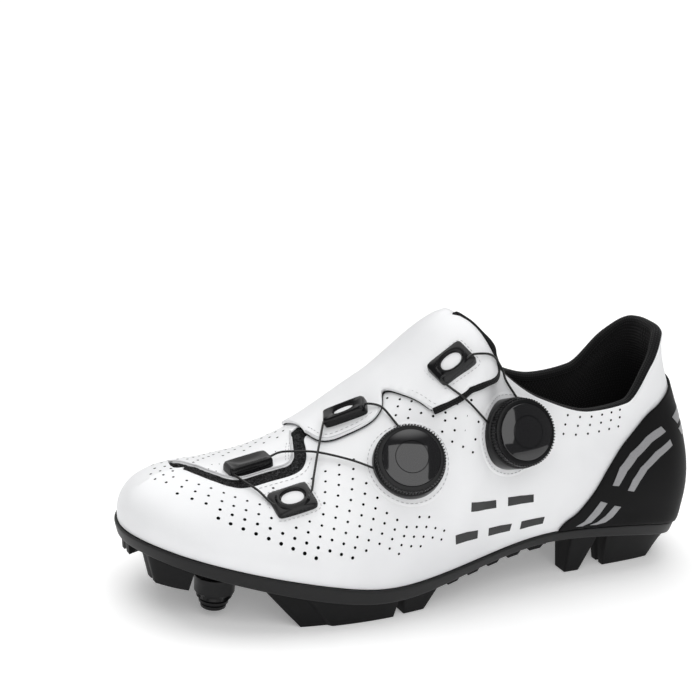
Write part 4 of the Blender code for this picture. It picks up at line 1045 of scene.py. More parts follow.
bars = {
    "lift": 1.32,
    "thick": 0.14,
    # left edge downwards, then right edge upwards, in (u, q)
    "shapes": (
        ((0.128, 0.550), (0.164, 0.560), (0.194, 0.530), (0.210, 0.445), (0.216, 0.315),
         (0.206, 0.305), (0.196, 0.400), (0.180, 0.465), (0.152, 0.498), (0.118, 0.505)),
        ((0.110, 0.450), (0.144, 0.428), (0.172, 0.380), (0.184, 0.320), (0.190, 0.255),
         (0.180, 0.235), (0.172, 0.290), (0.160, 0.345), (0.134, 0.390), (0.106, 0.415)),
        ((0.228, 0.205), (0.236, 0.125), (0.244, 0.060), (0.254, 0.028),
         (0.245, 0.026), (0.234, 0.050), (0.225, 0.110), (0.218, 0.185)),
        ((0.206, 0.160), (0.216, 0.088), (0.226, 0.045), (0.235, 0.028),
         (0.226, 0.027), (0.214, 0.042), (0.205, 0.078), (0.196, 0.145)),
        ((0.094, 0.545), (0.060, 0.560), (0.024, 0.566), (0.024, 0.520), (0.054, 0.512), (0.080, 0.495)),
        ((0.080, 0.470), (0.054, 0.480), (0.024, 0.484), (0.024, 0.440), (0.050, 0.436), (0.070, 0.430)),
    ),
}
dashes = {
    "lift": 0.02,
    "thick": 0.12,
    "shapes": (
        ((0.452, 0.263), (0.428, 0.288), (0.404, 0.303), (0.400, 0.262), (0.422, 0.252), (0.448, 0.230)),
        ((0.382, 0.322), (0.360, 0.331), (0.336, 0.329), (0.332, 0.275), (0.354, 0.277), (0.378, 0.270)),
        ((0.466, 0.137), (0.446, 0.149), (0.425, 0.154), (0.422, 0.114), (0.441, 0.111), (0.461, 0.103)),
        ((0.404, 0.154), (0.382, 0.157), (0.361, 0.152), (0.361, 0.107), (0.381, 0.111), (0.401, 0.111)),
        ((0.343, 0.150), (0.323, 0.148), (0.304, 0.144), (0.304, 0.093), (0.322, 0.095), (0.342, 0.095)),
    ),
}


def makeMarks():
    uLines, qLines = np.linspace(0, 1, 281), np.linspace(0, 1, 73)
    cells = []
    for shape in bars["shapes"]:
        for side in (1, -1):
            cells += patternCells(side, shape, uLines, qLines)

    def barLow(s, u, q):
        return shell(s, u, q, bars["lift"] - 0.2)

    def barHigh(s, u, q):
        return shell(s, u, q, bars["lift"] + bars["thick"] + counterLedge(u, q))

    mesh = sheetMesh("counter_bars", cells, barLow, barHigh, 0.05, 1)
    finishPiece("counter_bars", mesh, (), 50, ("bar",) * 3)
    cells = []
    for shape in dashes["shapes"]:
        cells += patternCells(1, shape, uLines, qLines)

    def dashLow(s, u, q):
        return skin(s, u, q, dashes["lift"] - 0.3)

    def dashHigh(s, u, q):
        return skin(s, u, q, dashes["lift"] + dashes["thick"])

    mesh = sheetMesh("side_dashes", cells, dashLow, dashHigh, 0.05, 1)
    finishPiece("side_dashes", mesh, (), 50, ("dash",) * 3)


collar = {
    "across": 2.5, "up": 2.1, "inset": 0.35, "above": 0.9, "lift": 1.0, "spacing": 1.6, "steps": 24,
    "thinX": (108, 124),        # it grows thinner between these, counted from the heel
    "liftX": (121.0, 126.5),    # and rises onto the flap between these
}


def makeCollar():
    # a padded roll all the way round the opening
    u = shoe["collarFront"] * (1 - np.cos(np.linspace(0, math.pi, 160))) / 2
    sides = np.concatenate([np.ones(159), -np.ones(159)])
    us = np.concatenate([u[::-1][:-1], u[:-1]])
    rim = shell(sides, us, np.ones_like(us), 0.0)
    normals = shellNormal(sides, us, np.full_like(us, 0.985))
    total = lengthAlong(np.vstack([rim, rim[:1]]))
    at = np.linspace(0, total[-1], int(total[-1] / collar["spacing"]), endpoint=False)
    rim, normals = (atLengths(np.vstack([v, v[:1]]), total, at) for v in (rim, normals))
    for _ in range(3):
        normals = (np.roll(normals, 1, 0) + normals * 2 + np.roll(normals, -1, 0)) / 4
    tangent = np.roll(rim, -1, 0) - np.roll(rim, 1, 0)
    tangent /= np.linalg.norm(tangent, axis=1, keepdims=True)
    normals -= tangent * (normals * tangent).sum(1, keepdims=True)
    normals /= np.linalg.norm(normals, axis=1, keepdims=True)
    beyond = np.cross(normals, tangent)
    beyond *= np.sign(beyond[len(beyond) // 2][2])
    across = collar["across"] * (1 - 0.25 * smoothStep(rim[:, 0], *collar["thinX"]))
    behind = smoothStep(rim[:, 0], *collar["liftX"])[:, None]
    centre = rim - normals * (across[:, None] + collar["inset"]) - beyond * (collar["up"] - collar["above"])
    centre = centre + behind * (normals * collar["lift"] + beyond * 0.4)
    frames = list(zip(normals, beyond))
    radii = np.stack([across, np.full(len(rim), collar["up"])], -1)
    mesh = tubeMesh("collar_roll", centre, radii, collar["steps"], True, frames)
    piece = finishPiece("collar_roll", mesh, (), 80, ("knit",))


makeUpper()
makeFlap()
makeTongue()
makeGapKnit()
makeCounter()
makeMarks()
makeCollar()
print("stage: upper made")


# surfaces that fittings stand on


def surfaceTree(lift, uSteps=140, qSteps=40):
    points, faces = [], []
    for side in (1, -1):
        start = len(points)
        uu, qq = np.meshgrid(np.linspace(0, 1, uSteps + 1), np.linspace(0, 1, qSteps + 1), indexing="ij")
        flat = [np.full(uu.size, float(side)), uu.ravel(), qq.ravel()]
        lifts = flapBase(flat[1]) + pattern["flapThick"] if lift is None else softLift(*flat) + lift
        points += [Vector(p) for p in shell(*flat, lifts)]
        n = qSteps + 1
        for i in range(uSteps):
            for j in range(qSteps):
                a = start + i * n + j
                corners = (a, a + n, a + n + 1, a + 1)[::-side]
                faces += [corners[:3], (corners[0], corners[2], corners[3])]
    return BVHTree.FromPolygons(points, faces)


skins = (surfaceTree(0.0), surfaceTree(None))


def shellFrame(u, q):
    one = np.ones(1)
    p = shell(one, one * u, one * q, 0.0)[0]
    n = shellNormal(one, one * u, one * q)[0]
    du = shellRaw(one, one * (u + 0.005), one * q)[0] - shellRaw(one, one * (u - 0.005), one * q)[0]
    return Vector(p), Vector(n), Vector(du).normalized()


def axesFrom(axis, along):
    axis = axis.normalized()
    e1 = (along - axis * along.dot(axis)).normalized()
    return e1, axis.cross(e1), axis


def dropOn(tree, centre, axes, a, b, deepest=-8.0):
    # height of the surface under a point of the plan
    e1, e2, axis = axes
    hit = tree.ray_cast(centre + e1 * a + e2 * b + axis * 30.0, -axis)[0]
    return max((hit - centre).dot(axis), deepest) if hit is not None else deepest


def loopStack(centre, axes, loops, tree, steps, sink=0.0):
    # a closed shape from stacked loops of (half length, half width, squareness, height), where a
    # height of None follows the surface below
    points, faces = [], []
    for half, wide, square, height in loops:
        for k in range(steps):
            a = 2 * math.pi * (k + 0.5) / steps
            c, s = math.cos(a), math.sin(a)
            x = half * math.copysign(abs(c) ** (2 / square), c)
            y = wide * math.copysign(abs(s) ** (2 / square), s)
            z = dropOn(tree, centre, axes, x, y) - sink if height is None else height
            points.append((x, y, z))
    for k in range(len(loops) - 1):
        for j in range(steps):
            i = (j + 1) % steps
            faces.append((k * steps + j, k * steps + i, (k + 1) * steps + i, (k + 1) * steps + j))
    faces.append(tuple(range(steps - 1, -1, -1)))
    faces.append(tuple(range((len(loops) - 1) * steps, len(loops) * steps)))
    return toFrame(inAxes(points, centre, axes)), faces


# dials

dials = {
    "front": {"u": 0.572, "q": 0.485, "axis": (0.32, 0.75, 0.58)},
    "rear": {"u": 0.403, "q": 0.660, "axis": (0.04, 0.91, 0.40)},
}
dialSize = {
    "base": 15.5, "baseHeight": 2.4, "ring": 14.5, "ringHeight": 4.6, "teeth": 70, "tooth": (0.95, 0.68),
    "cap": 12.5, "capHeight": 6.0, "crown": 1.85, "seat": 0.3,
    "grooveAt": 0.60, "groove": 0.30,                  # a share of the cap's flat, and a depth
    "patch": 18.4, "patchInside": 13.0, "stitches": 17.2,   # radii of the patch under the dial
}


def aroundDial(spec, radius, steps):
    # the skin's points and outward directions under a circle round the dial's axis
    centre, (e1, e2, axis) = spec["centre"], spec["axes"]
    found = []
    for k in range(steps):
        a = 2 * math.pi * k / steps
        flat = centre + e1 * (radius * math.cos(a)) + e2 * (radius * math.sin(a))
        hit, facing = skins[0].ray_cast(flat + axis * 30.0, -axis)[:2]
        if hit is None or (hit - centre).dot(axis) < -12:
            hit, facing = skins[0].find_nearest(flat)[:2]
        found.append((hit, facing))
    return found


def makePatch(name):
    # the patch that the dial is set in, whose row of stitches is given back
    spec, size = dials[name], dialSize
    steps, out, inside = 96, size["patch"], size["patchInside"]
    loops = ((inside, 0.1), (out - 0.9, 0.20), (out - 0.3, 0.14), (out + 0.1, -0.02), (out - 0.3, -0.4),
             (inside, -0.4))
    points, faces = [], []
    for radius, lift in loops:
        points += [np.array(hit + facing * lift) for hit, facing in aroundDial(spec, radius, steps)]
    for k in range(len(loops)):
        m = (k + 1) % len(loops)
        for j in range(steps):
            i = (j + 1) % steps
            faces.append((k * steps + j, k * steps + i, m * steps + i, m * steps + j))
    mesh = meshFrom(f"dial_{name}_patch", toFrame(points), faces)
    finishPiece(f"dial_{name}_patch", mesh, (), 50, ("white",))
    row = [np.array(hit + facing * 0.24) for hit, facing in aroundDial(spec, size["stitches"], steps)]
    return row + [row[0]]


def makeDial(name):
    spec, size = dials[name], dialSize
    centre, _, du = shellFrame(spec["u"], spec["q"])
    axes = axesFrom(Vector(spec["axis"]), du)
    e1, e2, axis = axes
    r = size["base"]
    turns = [2 * math.pi * k / 24 for k in range(24)]
    heights = [dropOn(skins[0], centre, axes, r * math.cos(t), r * math.sin(t)) for t in turns]
    top = max([0.0] + heights) + 0.5 + size["baseHeight"]
    spec["centre"], spec["axes"] = centre, axes
    loops = [(1, 1, 2, None), (r * 0.6, r * 0.6, 2, None), (r, r, 2, None), (r, r, 2, top - 0.9),
             (r - 0.25, r - 0.25, 2, top - 0.3), (r - 0.8, r - 0.8, 2, top), (1, 1, 2, top)]
    points, faces = loopStack(centre, axes, loops, skins[0], 96, 0.3)
    mesh = meshFrom(f"dial_{name}_seat", points, faces)
    finishPiece(f"dial_{name}_seat", mesh, [f"dial_{name}_base"], 35, ("plastic",))
    # the turning part: a toothed ring low down, then a smooth gloss cap with a shallow crown
    low, cap, ring = top + size["seat"], size["cap"], size["ring"]
    ringTop, capTop = low + size["ringHeight"], low + size["capHeight"] - 0.55
    profile = [(0, low), (ring - 0.5, low), (ring - 0.1, low + 0.3), (ring - 0.1, ringTop - 1.0),
               (ring - 0.5, ringTop - 0.35), (cap + 0.1, ringTop), (0, ringTop)]
    points, faces = lathePoints(profile, 96)
    mesh = meshFrom(f"dial_{name}_ring", toFrame(inAxes(points, centre, axes)), faces)
    finishPiece(f"dial_{name}_ring", mesh, [f"dial_{name}_knob"], 35, ("plastic",))
    tooth = tuple(length / 1000 for length in (*size["tooth"], size["ringHeight"] - 1.1))
    values = {"Count": size["teeth"], "Radius": (ring + 0.02) / 1000, "Tooth": tooth,
              "Finish": finishes["plastic"]}
    mesh = grown(f"dial_{name}_teeth", bpy.data.meshes.new("empty_seed"), trees["knurl"], values)
    middle = centre + axis * (low + size["ringHeight"] / 2 - 0.15)
    turn = Matrix((e1, e2, axis)).transposed().to_4x4()
    mesh.transform(Matrix.Translation(Vector(toFrame(middle))) @ turn)
    finishPiece(f"dial_{name}_teeth", mesh, (), 40)
    crown = []
    for share in (0.94, 0.86, 0.78, 0.70, 0.63, 0.612, 0.60, 0.588, 0.57, 0.50, 0.40, 0.30, 0.20, 0.10):
        groove = size["groove"] if abs(share - size["grooveAt"]) < 0.012 else 0.0
        crown.append((cap * 0.93 * share, capTop + size["crown"] * (1 - share * share) - groove))
    profile = [(0, ringTop), (cap - 0.3, ringTop), (cap, ringTop + 0.25), (cap - 0.05, capTop - 0.95),
               (cap - 0.2, capTop - 0.45), (cap * 0.97, capTop - 0.15), (cap * 0.93, capTop)]
    points, faces = lathePoints(profile + crown + [(0, capTop + size["crown"])], 128)
    mesh = meshFrom(f"dial_{name}_crown", toFrame(inAxes(points, centre, axes)), faces)
    finishPiece(f"dial_{name}_crown", mesh, [f"dial_{name}_cap"], 35, ("gloss",))
    return makePatch(name)


dialRows = [makeDial(name) for name in dials]
stitchRows("dial_stitches", dialRows, pitch=2.2, length=1.5, thick=0.36)
print("stage: dials made")


# lace guides

guides = {
    "toe": {"u": 0.796, "q": 0.891, "turn": 10.0, "length": 20.5, "width": 9.4, "height": 4.6,
            "onFlap": False, "pod": True},
    "vamp": {"u": 0.734, "q": 0.562, "turn": 8.0, "length": 18.4, "width": 13.8, "height": 3.8,
             "onFlap": False, "pod": False},
    "middle": {"u": 0.637, "q": 0.915, "turn": -27.0, "length": 20.0, "width": 9.0, "height": 4.6,
               "onFlap": True, "pod": True},
    "strap": {"u": 0.516, "q": 0.715, "turn": -2.0, "length": 18.6, "width": 12.8, "height": 3.8,
              "onFlap": True, "pod": False},
}


def saddleShape(a, b, lift, top):
    # closed, and dished along its top
    return [
        (a * 0.5, b * 0.5, 7, None), (a, b, 8, None), (a, b, 8, lift + 1.3),
        (a * 0.99, b * 0.97, 8, top - 1.4), (a * 0.95, b * 0.86, 8, top - 0.3), (a * 0.90, b * 0.76, 7, top),
        (a * 0.82, b * 0.64, 6, top - 0.1), (a * 0.62, b * 0.46, 4, top - 0.7),
        (a * 0.40, b * 0.28, 3, top - 1.1), (a * 0.15, b * 0.1, 2, top - 1.2),
    ], None


def podShape(a, b, lift, top):
    # narrow, with a small window in its top
    return [
        (a * 0.5, b * 0.5, 7, None), (a, b, 8, None), (a, b, 8, lift + 1.2),
        (a * 0.99, b * 0.98, 8, top - 1.5), (a * 0.94, b * 0.86, 8, top - 0.4), (a * 0.88, b * 0.74, 7, top),
        (a * 0.60, b * 0.52, 3, top - 0.15), (a * 0.50, b * 0.42, 2.4, top - 0.5),
        (a * 0.47, b * 0.36, 2.2, top - 1.6), (a * 0.3, b * 0.2, 2, top - 1.6),
    ], (a * 0.45, b * 0.33, 2.2, top - 1.4)


def frameShape(a, b, lift, top):
    # a flat frame with a raised oval lip round its window
    return [
        (a * 0.5, b * 0.5, 6, None), (a, b, 9, None), (a, b, 9, lift + 1.2),
        (a * 0.98, b * 0.98, 9, lift + 1.8), (a * 0.92, b * 0.92, 8, lift + 2.0),
        (a * 0.88, b * 0.86, 6, lift + 2.2), (a * 0.80, b * 0.80, 2.8, lift + 2.4),
        (a * 0.78, b * 0.76, 2.3, lift + 3.0),
        (a * 0.74, b * 0.71, 2.2, top), (a * 0.64, b * 0.60, 2.1, top), (a * 0.58, b * 0.53, 2.1, top - 0.5),
        (a * 0.55, b * 0.49, 2.1, top - 1.6), (a * 0.3, b * 0.2, 2, top - 1.6),
    ], (a * 0.54, b * 0.48, 2.1, top - 1.45)


def makeGuide(name):
    spec = guides[name]
    centre, normal, du = shellFrame(spec["u"], spec["q"])
    across = normal.cross(du)
    if across.z < 0:
        across = -across
    turn = math.radians(spec["turn"])
    axes = axesFrom(normal, -du * math.cos(turn) + across * math.sin(turn))
    lift = pattern["flapLift"] + pattern["flapThick"] if spec["onFlap"] else 0.0
    spec["centre"], spec["axes"] = centre + axes[2] * lift, axes
    tree = skins[spec["onFlap"]]
    a, b, top = spec["length"] / 2, spec["width"] / 2, lift + spec["height"]
    shape = saddleShape if name == "toe" else podShape if spec["pod"] else frameShape
    body, window = shape(a, b, lift, top)
    points, faces = loopStack(centre, axes, body, tree, 72, 0.25)
    mesh = meshFrom(f"guide_{name}_body", points, faces)
    finishPiece(f"guide_{name}_body", mesh, [f"guide_{name}"], 32, ("guide",))
    if window:
        wa, wb, square, height = window
        disc = [(wa * 0.2, wb * 0.2, square, height - 0.1), (wa, wb, square, height - 0.1),
                (wa, wb, square, height + 0.1), (wa * 0.7, wb * 0.7, square, height + 0.3),
                (wa * 0.2, wb * 0.2, square, height + 0.3)]
        points, faces = loopStack(centre, axes, disc, tree, 48)
        mesh = meshFrom(f"guide_{name}_window", points, faces)
        finishPiece(f"guide_{name}_window", mesh, (), 50, ("white",))
    if spec["pod"]:
        return []
    # stitched round on three sides
    e1, e2, axis = axes
    row = []
    for k in range(73):
        t = 2 * math.pi * (k - 30) / 84
        c, s = math.cos(t), math.sin(t)
        x = (a + 1.3) * math.copysign(abs(c) ** (2 / 7), c)
        y = (b + 1.3) * math.copysign(abs(s) ** (2 / 7), s)
        z = dropOn(tree, centre, axes, x, y) + 0.12
        row.append(np.array(centre + e1 * x + e2 * y + axis * z))
    return [row]


guideRows = [row for name in guides for row in makeGuide(name)]
stitchRows("guide_stitches", guideRows, pitch=2.0, length=1.35, thick=0.28)
print("stage: guides made")


# wire laces, held by dials and guides all the way

laces = {
    "radius": 0.5,
    "spacing": 1.2,
    "clear": 1.1,   # least height of the wire's middle over the skin and the flap
    # stops are (u, q, height) or (guide, way through it, offset across it, height)
    "runs": (
        ("lace_front", "front", (
            (0.612, 0.535, 1.8), (0.648, 0.65, 2.2), (0.688, 0.79, 2.4), (0.714, 0.865, 2.4),
            (0.740, 0.925, 2.2),
            ("toe", -1, 0.0, 2.3),
            (0.808, 0.76, 1.6), (0.784, 0.66, 1.6),
            ("vamp", 1, 0.0, 1.8),
            (0.700, 0.66, 2.2), (0.686, 0.80, 3.2),
            ("middle", 1, 0.0, 2.3),
            (0.600, 0.80, 2.6), (0.585, 0.69, 1.8),
        )),
        ("lace_rear", "rear", (
            (0.452, 0.565, 1.8), (0.488, 0.545, 3.2),
            ("strap", 1, -3.4, 2.2),
            (0.466, 0.80, 3.4), (0.440, 0.91, 3.2), (0.412, 0.935, 1.8), (0.388, 0.90, 1.8),
        )),
    ),
}


def makeLace(name, dial, run):
    points = []
    for entry in run:
        if isinstance(entry[0], str):
            guide, way, across, high = entry
            spec = guides[guide]
            e1, e2, axis = spec["axes"]
            long = spec["length"]
            for reach in (0.5 - long / 2, -0.3 * long, 0.3 * long, long / 2 - 0.5):
                points.append(spec["centre"] + e1 * way * reach + e2 * across + axis * high)
        else:
            u, q, lift = entry
            points.append(Vector(shell([1.0], [u], [q], lift)[0]))
    centre, axis = dials[dial]["centre"], dials[dial]["axes"][2]
    edge = dialSize["base"] - 0.6
    for end in (0, -1):
        away = points[end] - centre
        flat = away - axis * away.dot(axis)
        points[end] = points[end] + flat.normalized() * (edge - flat.length)
    moved = []
    for p in evenPath(points, laces["spacing"]):
        p = Vector(p)
        for tree in skins:
            if tree is skins[1] and not overFlap(p):
                continue
            spot, facing = tree.find_nearest(p)[:2]
            depth = (p - spot).dot(facing)
            if depth < laces["clear"]:
                p = p + facing * (laces["clear"] - depth)
        moved.append(np.array(p))
    moved = np.array(moved)
    for _ in range(3):
        moved[1:-1] = (moved[:-2] + moved[1:-1] * 2 + moved[2:]) / 4
    mesh = tubeMesh(name + "_wire", moved, (laces["radius"], laces["radius"]), 12)
    finishPiece(name + "_wire", mesh, [name], 60, ("wire",))


def flapPoints():
    cells = []
    for side, key in ((1, "flapOuter"), (-1, "flapInner")):
        cells += patternCells(side, pattern[key], pattern["uLines"][::3], pattern["qLines"][::2])
    return shell(*np.array([(s, u, q) for s, corners in cells for u, q in corners]).T, 2.0)


flapSpots = flapPoints()


def overFlap(p):
    return float(np.linalg.norm(flapSpots - np.array(tuple(p)), axis=1).min()) < 5.0


for laceName, laceDial, laceRun in laces["runs"]:
    makeLace(laceName, laceDial, laceRun)
print("stage: laces made")


# perforations and stitch lines of the upper

perforations = {
    # the fan: its lowest row's q and the step between rows, along u
    "baseU": (0.480, 0.560, 0.596, 0.638, 0.694, 0.766, 0.840, 0.865, 0.910, 0.950, 1.000),
    "baseQ": (-0.02, 0.03, 0.075, 0.113, 0.175, 0.305, 0.440, 0.482, 0.522, 0.555, 0.570),
    "rowStep": (0.028, 0.034, 0.042, 0.052, 0.067, 0.078, 0.080, 0.078, 0.080, 0.082, 0.085),
    "columns": (0.986, 0.952, 0.914, 0.886, 0.862, 0.840),
    "lastColumn": 27,
    "firstColumn": (5, 2, 0, 0, 0, 0),
    "pitch": 0.0180,
    "slant": 0.0015,
    "rows": 14,
    "widest": 1.65,
    "narrowest": 1.15,
    "single": 1.1,
    "fine": 0.6,
    "fanStart": 0.486,
    "dialClear": (19.2, 32),    # none this near a dial's axis, within this reach of its middle
    "guideClear": (2.6, 18),    # none this near a guide's sides, within this reach of its middle
    # where the fan ends, as q along u: below, above behind the front dial, and above on the inner side
    "floor": ((0.48, 0.506, 0.56, 0.58, 0.60, 0.64, 0.694), (0.10, 0.125, 0.13, 0.16, 0.175, 0.155, 0.165)),
    "lowRoof": ((0.48, 0.50, 0.514, 0.532, 0.554, 0.596), (0.16, 0.185, 0.22, 0.25, 0.255, 0.335)),
    "innerRoof": ((0.50, 0.58, 0.65, 0.684, 0.70, 0.93), (0.36, 0.38, 0.46, 0.62, 0.86, 0.93)),
    # short rows near the straps and under the collar: from, to, how many
    "extra": (
        (0.592, 0.850, 0.568, 0.735, 3), (0.584, 0.765, 0.558, 0.645, 3), (0.588, 0.730, 0.546, 0.560, 4),
        (0.542, 0.585, 0.486, 0.410, 4), (0.524, 0.555, 0.470, 0.412, 4), (0.506, 0.555, 0.470, 0.455, 3),
        (0.484, 0.560, 0.470, 0.515, 2), (0.526, 0.495, 0.506, 0.435, 2),
        (0.314, 0.935, 0.226, 0.955, 6), (0.316, 0.852, 0.224, 0.875, 6), (0.316, 0.775, 0.224, 0.790, 6),
    ),
    "tab": (
        (0.880, 0.925, 0.835, 0.860, 3), (0.880, 0.985, 0.745, 0.985, 7), (0.845, 0.920, 0.835, 0.915, 1),
    ),
}


def fanRoof(side, u):
    if side < 0:
        return np.interp(u, *perforations["innerRoof"])
    if u <= 0.605:
        return np.interp(u, *perforations["lowRoof"])
    panelU, panelQ = np.array(pattern["panel"][:12])[::-1].T
    roof = np.interp(u, panelU, panelQ) - 0.045
    return min(roof, 0.80) if u < 0.70 else roof


def fanSpots(side):
    spec, spots = perforations, []
    last = len(spec["columns"]) - 1
    for row in range(spec["rows"]):
        for k in range(spec["firstColumn"][min(row, 5)], spec["lastColumn"]):
            u = spec["columns"][min(k, last)] - spec["pitch"] * max(0, k - last) - spec["slant"] * row
            q, step = (np.interp(u, spec["baseU"], spec[key]) for key in ("baseQ", "rowStep"))
            q = q + row * step
            if u < spec["fanStart"] or not np.interp(u, *spec["floor"]) <= q <= fanRoof(side, u):
                continue
            width = spec["widest"] - (spec["widest"] - spec["narrowest"]) * min(1.0, row / 2.5)
            spots.append((side, u, q, width))
    return spots


def rowSpots(side, rows, width, most=1.0):
    spots = []
    for u0, q0, u1, q1, count in rows:
        for k in range(count):
            share = k / max(1, count - 1)
            if between(u0, u1, share) <= most:
                spots.append((side, between(u0, u1, share), between(q0, q1, share), width))
    return spots


def makePerforations():
    spots = fanSpots(1) + rowSpots(1, perforations["extra"], perforations["single"])
    spots += fanSpots(-1) + rowSpots(-1, perforations["extra"], perforations["single"], most=0.40)
    spots += rowSpots(1, perforations["tab"], perforations["fine"])
    spots = np.array(spots)
    places = skin(spots[:, 0], spots[:, 1], spots[:, 2], 0.03)
    facings = shellNormal(spots[:, 0], spots[:, 1], spots[:, 2])
    # none under a dial or a guide
    keep = np.ones(len(spots), bool)
    clear, reach = perforations["dialClear"]
    for spec in dials.values():
        away = places - np.array(spec["centre"])
        flat = away - np.outer(away @ np.array(spec["axes"][2]), np.array(spec["axes"][2]))
        keep &= (np.linalg.norm(flat, axis=1) > clear) | (np.linalg.norm(away, axis=1) > reach)
    clear, reach = perforations["guideClear"]
    for spec in guides.values():
        away = places - np.array(spec["centre"])
        inX = np.abs(away @ np.array(spec["axes"][0])) < spec["length"] / 2 + clear
        inY = np.abs(away @ np.array(spec["axes"][1])) < spec["width"] / 2 + clear
        keep &= ~(inX & inY & (np.linalg.norm(away, axis=1) < reach))
    spotField("upper_perforations", places[keep], facings[keep], spots[keep, 3], "hole", 14)


def edgeRow(side, points, aside, lift, spacing=1.2, onFlap=False):
    # a line on the skin, or on the flap, beside a pattern edge: moved by mm to the right of its run
    line = np.clip(smoothed(points, 8), 0.0, 0.998)
    sides = np.full(len(line), float(side))
    places = skin(sides, line[:, 0], line[:, 1], 0.0)
    normals = shellNormal(sides, line[:, 0], line[:, 1])
    tangent = np.gradient(places, axis=0)
    tangent /= np.linalg.norm(tangent, axis=1, keepdims=True)
    rise = (lift + (flapBase(line[:, 0]) if onFlap else 0 * line[:, 0]))[:, None]
    places = places + np.cross(tangent, normals) * aside + normals * rise
    total = lengthAlong(places)
    return atLengths(places, total, np.linspace(0, total[-1], max(2, int(total[-1] / spacing))))


makePerforations()
tabBack = ((0.7275, 0.875), (0.7235, 0.945), (0.718, 1.0))
strapEdge = pattern["flapOuter"][pattern["strapStart"]:]
flapEdge = pattern["flapOuter"][:pattern["strapStart"] + 1]
onThread = pattern["flapThick"] + 0.12
seams = [
    edgeRow(1, flapEdge[9:], -2.3, onThread, onFlap=True),
    edgeRow(1, flapEdge[:6], -2.3, onThread, onFlap=True),
    edgeRow(1, tabBack, -0.6, 0.12),
    edgeRow(1, tabBack, -2.0, 0.12),
    edgeRow(1, pattern["panel"][9:15], 2.2, 0.08),
    edgeRow(-1, pattern["flapInner"][1:7], -2.2, onThread, onFlap=True),
]
stitchRows("upper_stitches", seams, pitch=2.3, length=1.6, thick=0.3)


# edge lines round the throat and the flap

edges = {
    # radius, the middle's height over the skin or the flap's underside, and how far aside of the edge
    "tab": (0.50, 0.12, -0.5),
    "strap": (1.50, 0.60, 1.25),
    "flapRoll": (0.62, 1.00, -0.25),
    "flapUnder": (0.42, 0.10, 0.32),
    "strapBack": (1.40, 0.95, 1.05),
}


def makeEdges():
    # the strap's padded underside shows as a thick black edge, and the other edges are turned and rolled,
    # their roll the white microfibre painted grey for its shade
    for name, line, onFlap, finish, slot in (
        ("tab", pattern["tab"], False, "edge", "white_upper"),
        ("strap", strapEdge, True, "knit", "black_mesh"),
        ("flapRoll", flapEdge, True, "edge", "white_upper"),
        # a thin black line just under the flap's roll: the backing's cut edge, also a painted shadow line
        # under the roll
        ("flapUnder", flapEdge, True, "mesh", "black_mesh"),
    ):
        radius, lift, aside = edges[name]
        run = edgeRow(1, line, aside, lift, 0.9, onFlap)
        if name == "tab":
            tip = [pattern["gapEnd"], *pattern["gapTab"], pattern["tab"][0]]
            top = edgeRow(-1, pattern["tabInner"][:3], aside, lift, 0.9)
            run = np.vstack([edgeRow(-1, tip, aside, lift, 0.9), run, top])
        if name == "strap":
            # it goes on along the front of the opening, over the ridge and down the inner side
            _, lift, aside = edges["strapBack"]
            front = ((0.437, 1.0), (0.450, 1.0), (0.465, 1.0), (0.478, 1.0), (0.4895, 1.0))
            near = edgeRow(1, front, aside, lift + 1.1, 0.9, onFlap)
            far = edgeRow(-1, front[::-1] + ((0.437, 0.90), (0.437, 0.72)), aside, lift, 0.9, onFlap)
            run = np.vstack([run, near, far])
        for _ in range(4):
            run[1:-1] = (run[:-2] + run[1:-1] * 2 + run[2:]) / 4
        swell = np.full(len(run), radius)
        if name == "strap":
            # a little uneven, and thinner towards its hidden end
            count = np.arange(len(run))
            swell = swell * (1 + 0.06 * np.sin(count * 0.55)) * np.clip((len(run) - count) / 9, 0.3, 1.0)
        mesh = tubeMesh(f"edge_{name}", run, np.stack([swell, swell], -1), 12)
        finishPiece(f"edge_{name}", mesh, (), 70, (finish,))


makeEdges()
print("stage: seams and edges made")


# sole

sole = {
    "randOut": 1.2,
    "undercut": 1.0,
    "gap": 0.3,
    "uSteps": 200,
    "tSteps": 72,
    "sink": 0.6,                    # how far a tread block reaches into the plate's underside
    "insole": 3.0,
    "insoleGap": 0.75,
    "insoleClear": 1.8,
    "slotLength": 36.0,
    "slotWidth": 7.0,
    "slotSpacing": 17.0,
    "cleatU": 0.625,
    "panelReach": (0.125, 0.52),    # half the cleat panel's hollow, in u and t
    "panelHalf": (36.0, 22.5),      # half its woven face, in mm
    "panelShift": 1.5,
}
studs = {"u": 0.813, "t": 0.56, "low": 4.0, "radius": 9.0, "tip": 5.4, "drop": 2.7}


def soleRelief(u, t):
    # height of the underside above its plain face: hollows up, ribs down
    reachU, reachT = sole["panelReach"]
    fromCleat = np.hypot((u - sole["cleatU"]) / reachU, t / reachT)
    cleat = 1 - smoothStep(fromCleat, 0.92, 1.0)
    frameRib = np.exp(-((fromCleat - 1.04) / 0.035) ** 2)
    toeRib = np.exp(-((u - 0.93) / 0.012) ** 2) * (np.abs(t) < 0.7)
    waist = np.exp(-((u - 0.50) / 0.012) ** 2) * (np.abs(t) < 0.55)
    sideRib = np.exp(-((np.abs(t) - 0.56) / 0.03) ** 2)
    sideRib = sideRib * smoothStep(u, 0.28, 0.32) * (1 - smoothStep(u, 0.45, 0.48))
    studSeat = 0 * u
    for side in (1, -1):
        fromStud = np.hypot((u - studs["u"]) * 4.6, t - side * studs["t"])
        studSeat = studSeat + np.exp(-((fromStud - 0.31) / 0.035) ** 2)
    return 0.9 * cleat - 0.7 * frameRib - 0.5 * toeRib - 0.7 * sideRib - 0.8 * studSeat - 0.5 * waist


def cleatMiddle():
    return float(outline(np.array(sole["cleatU"]), np.array(1.0))[0])


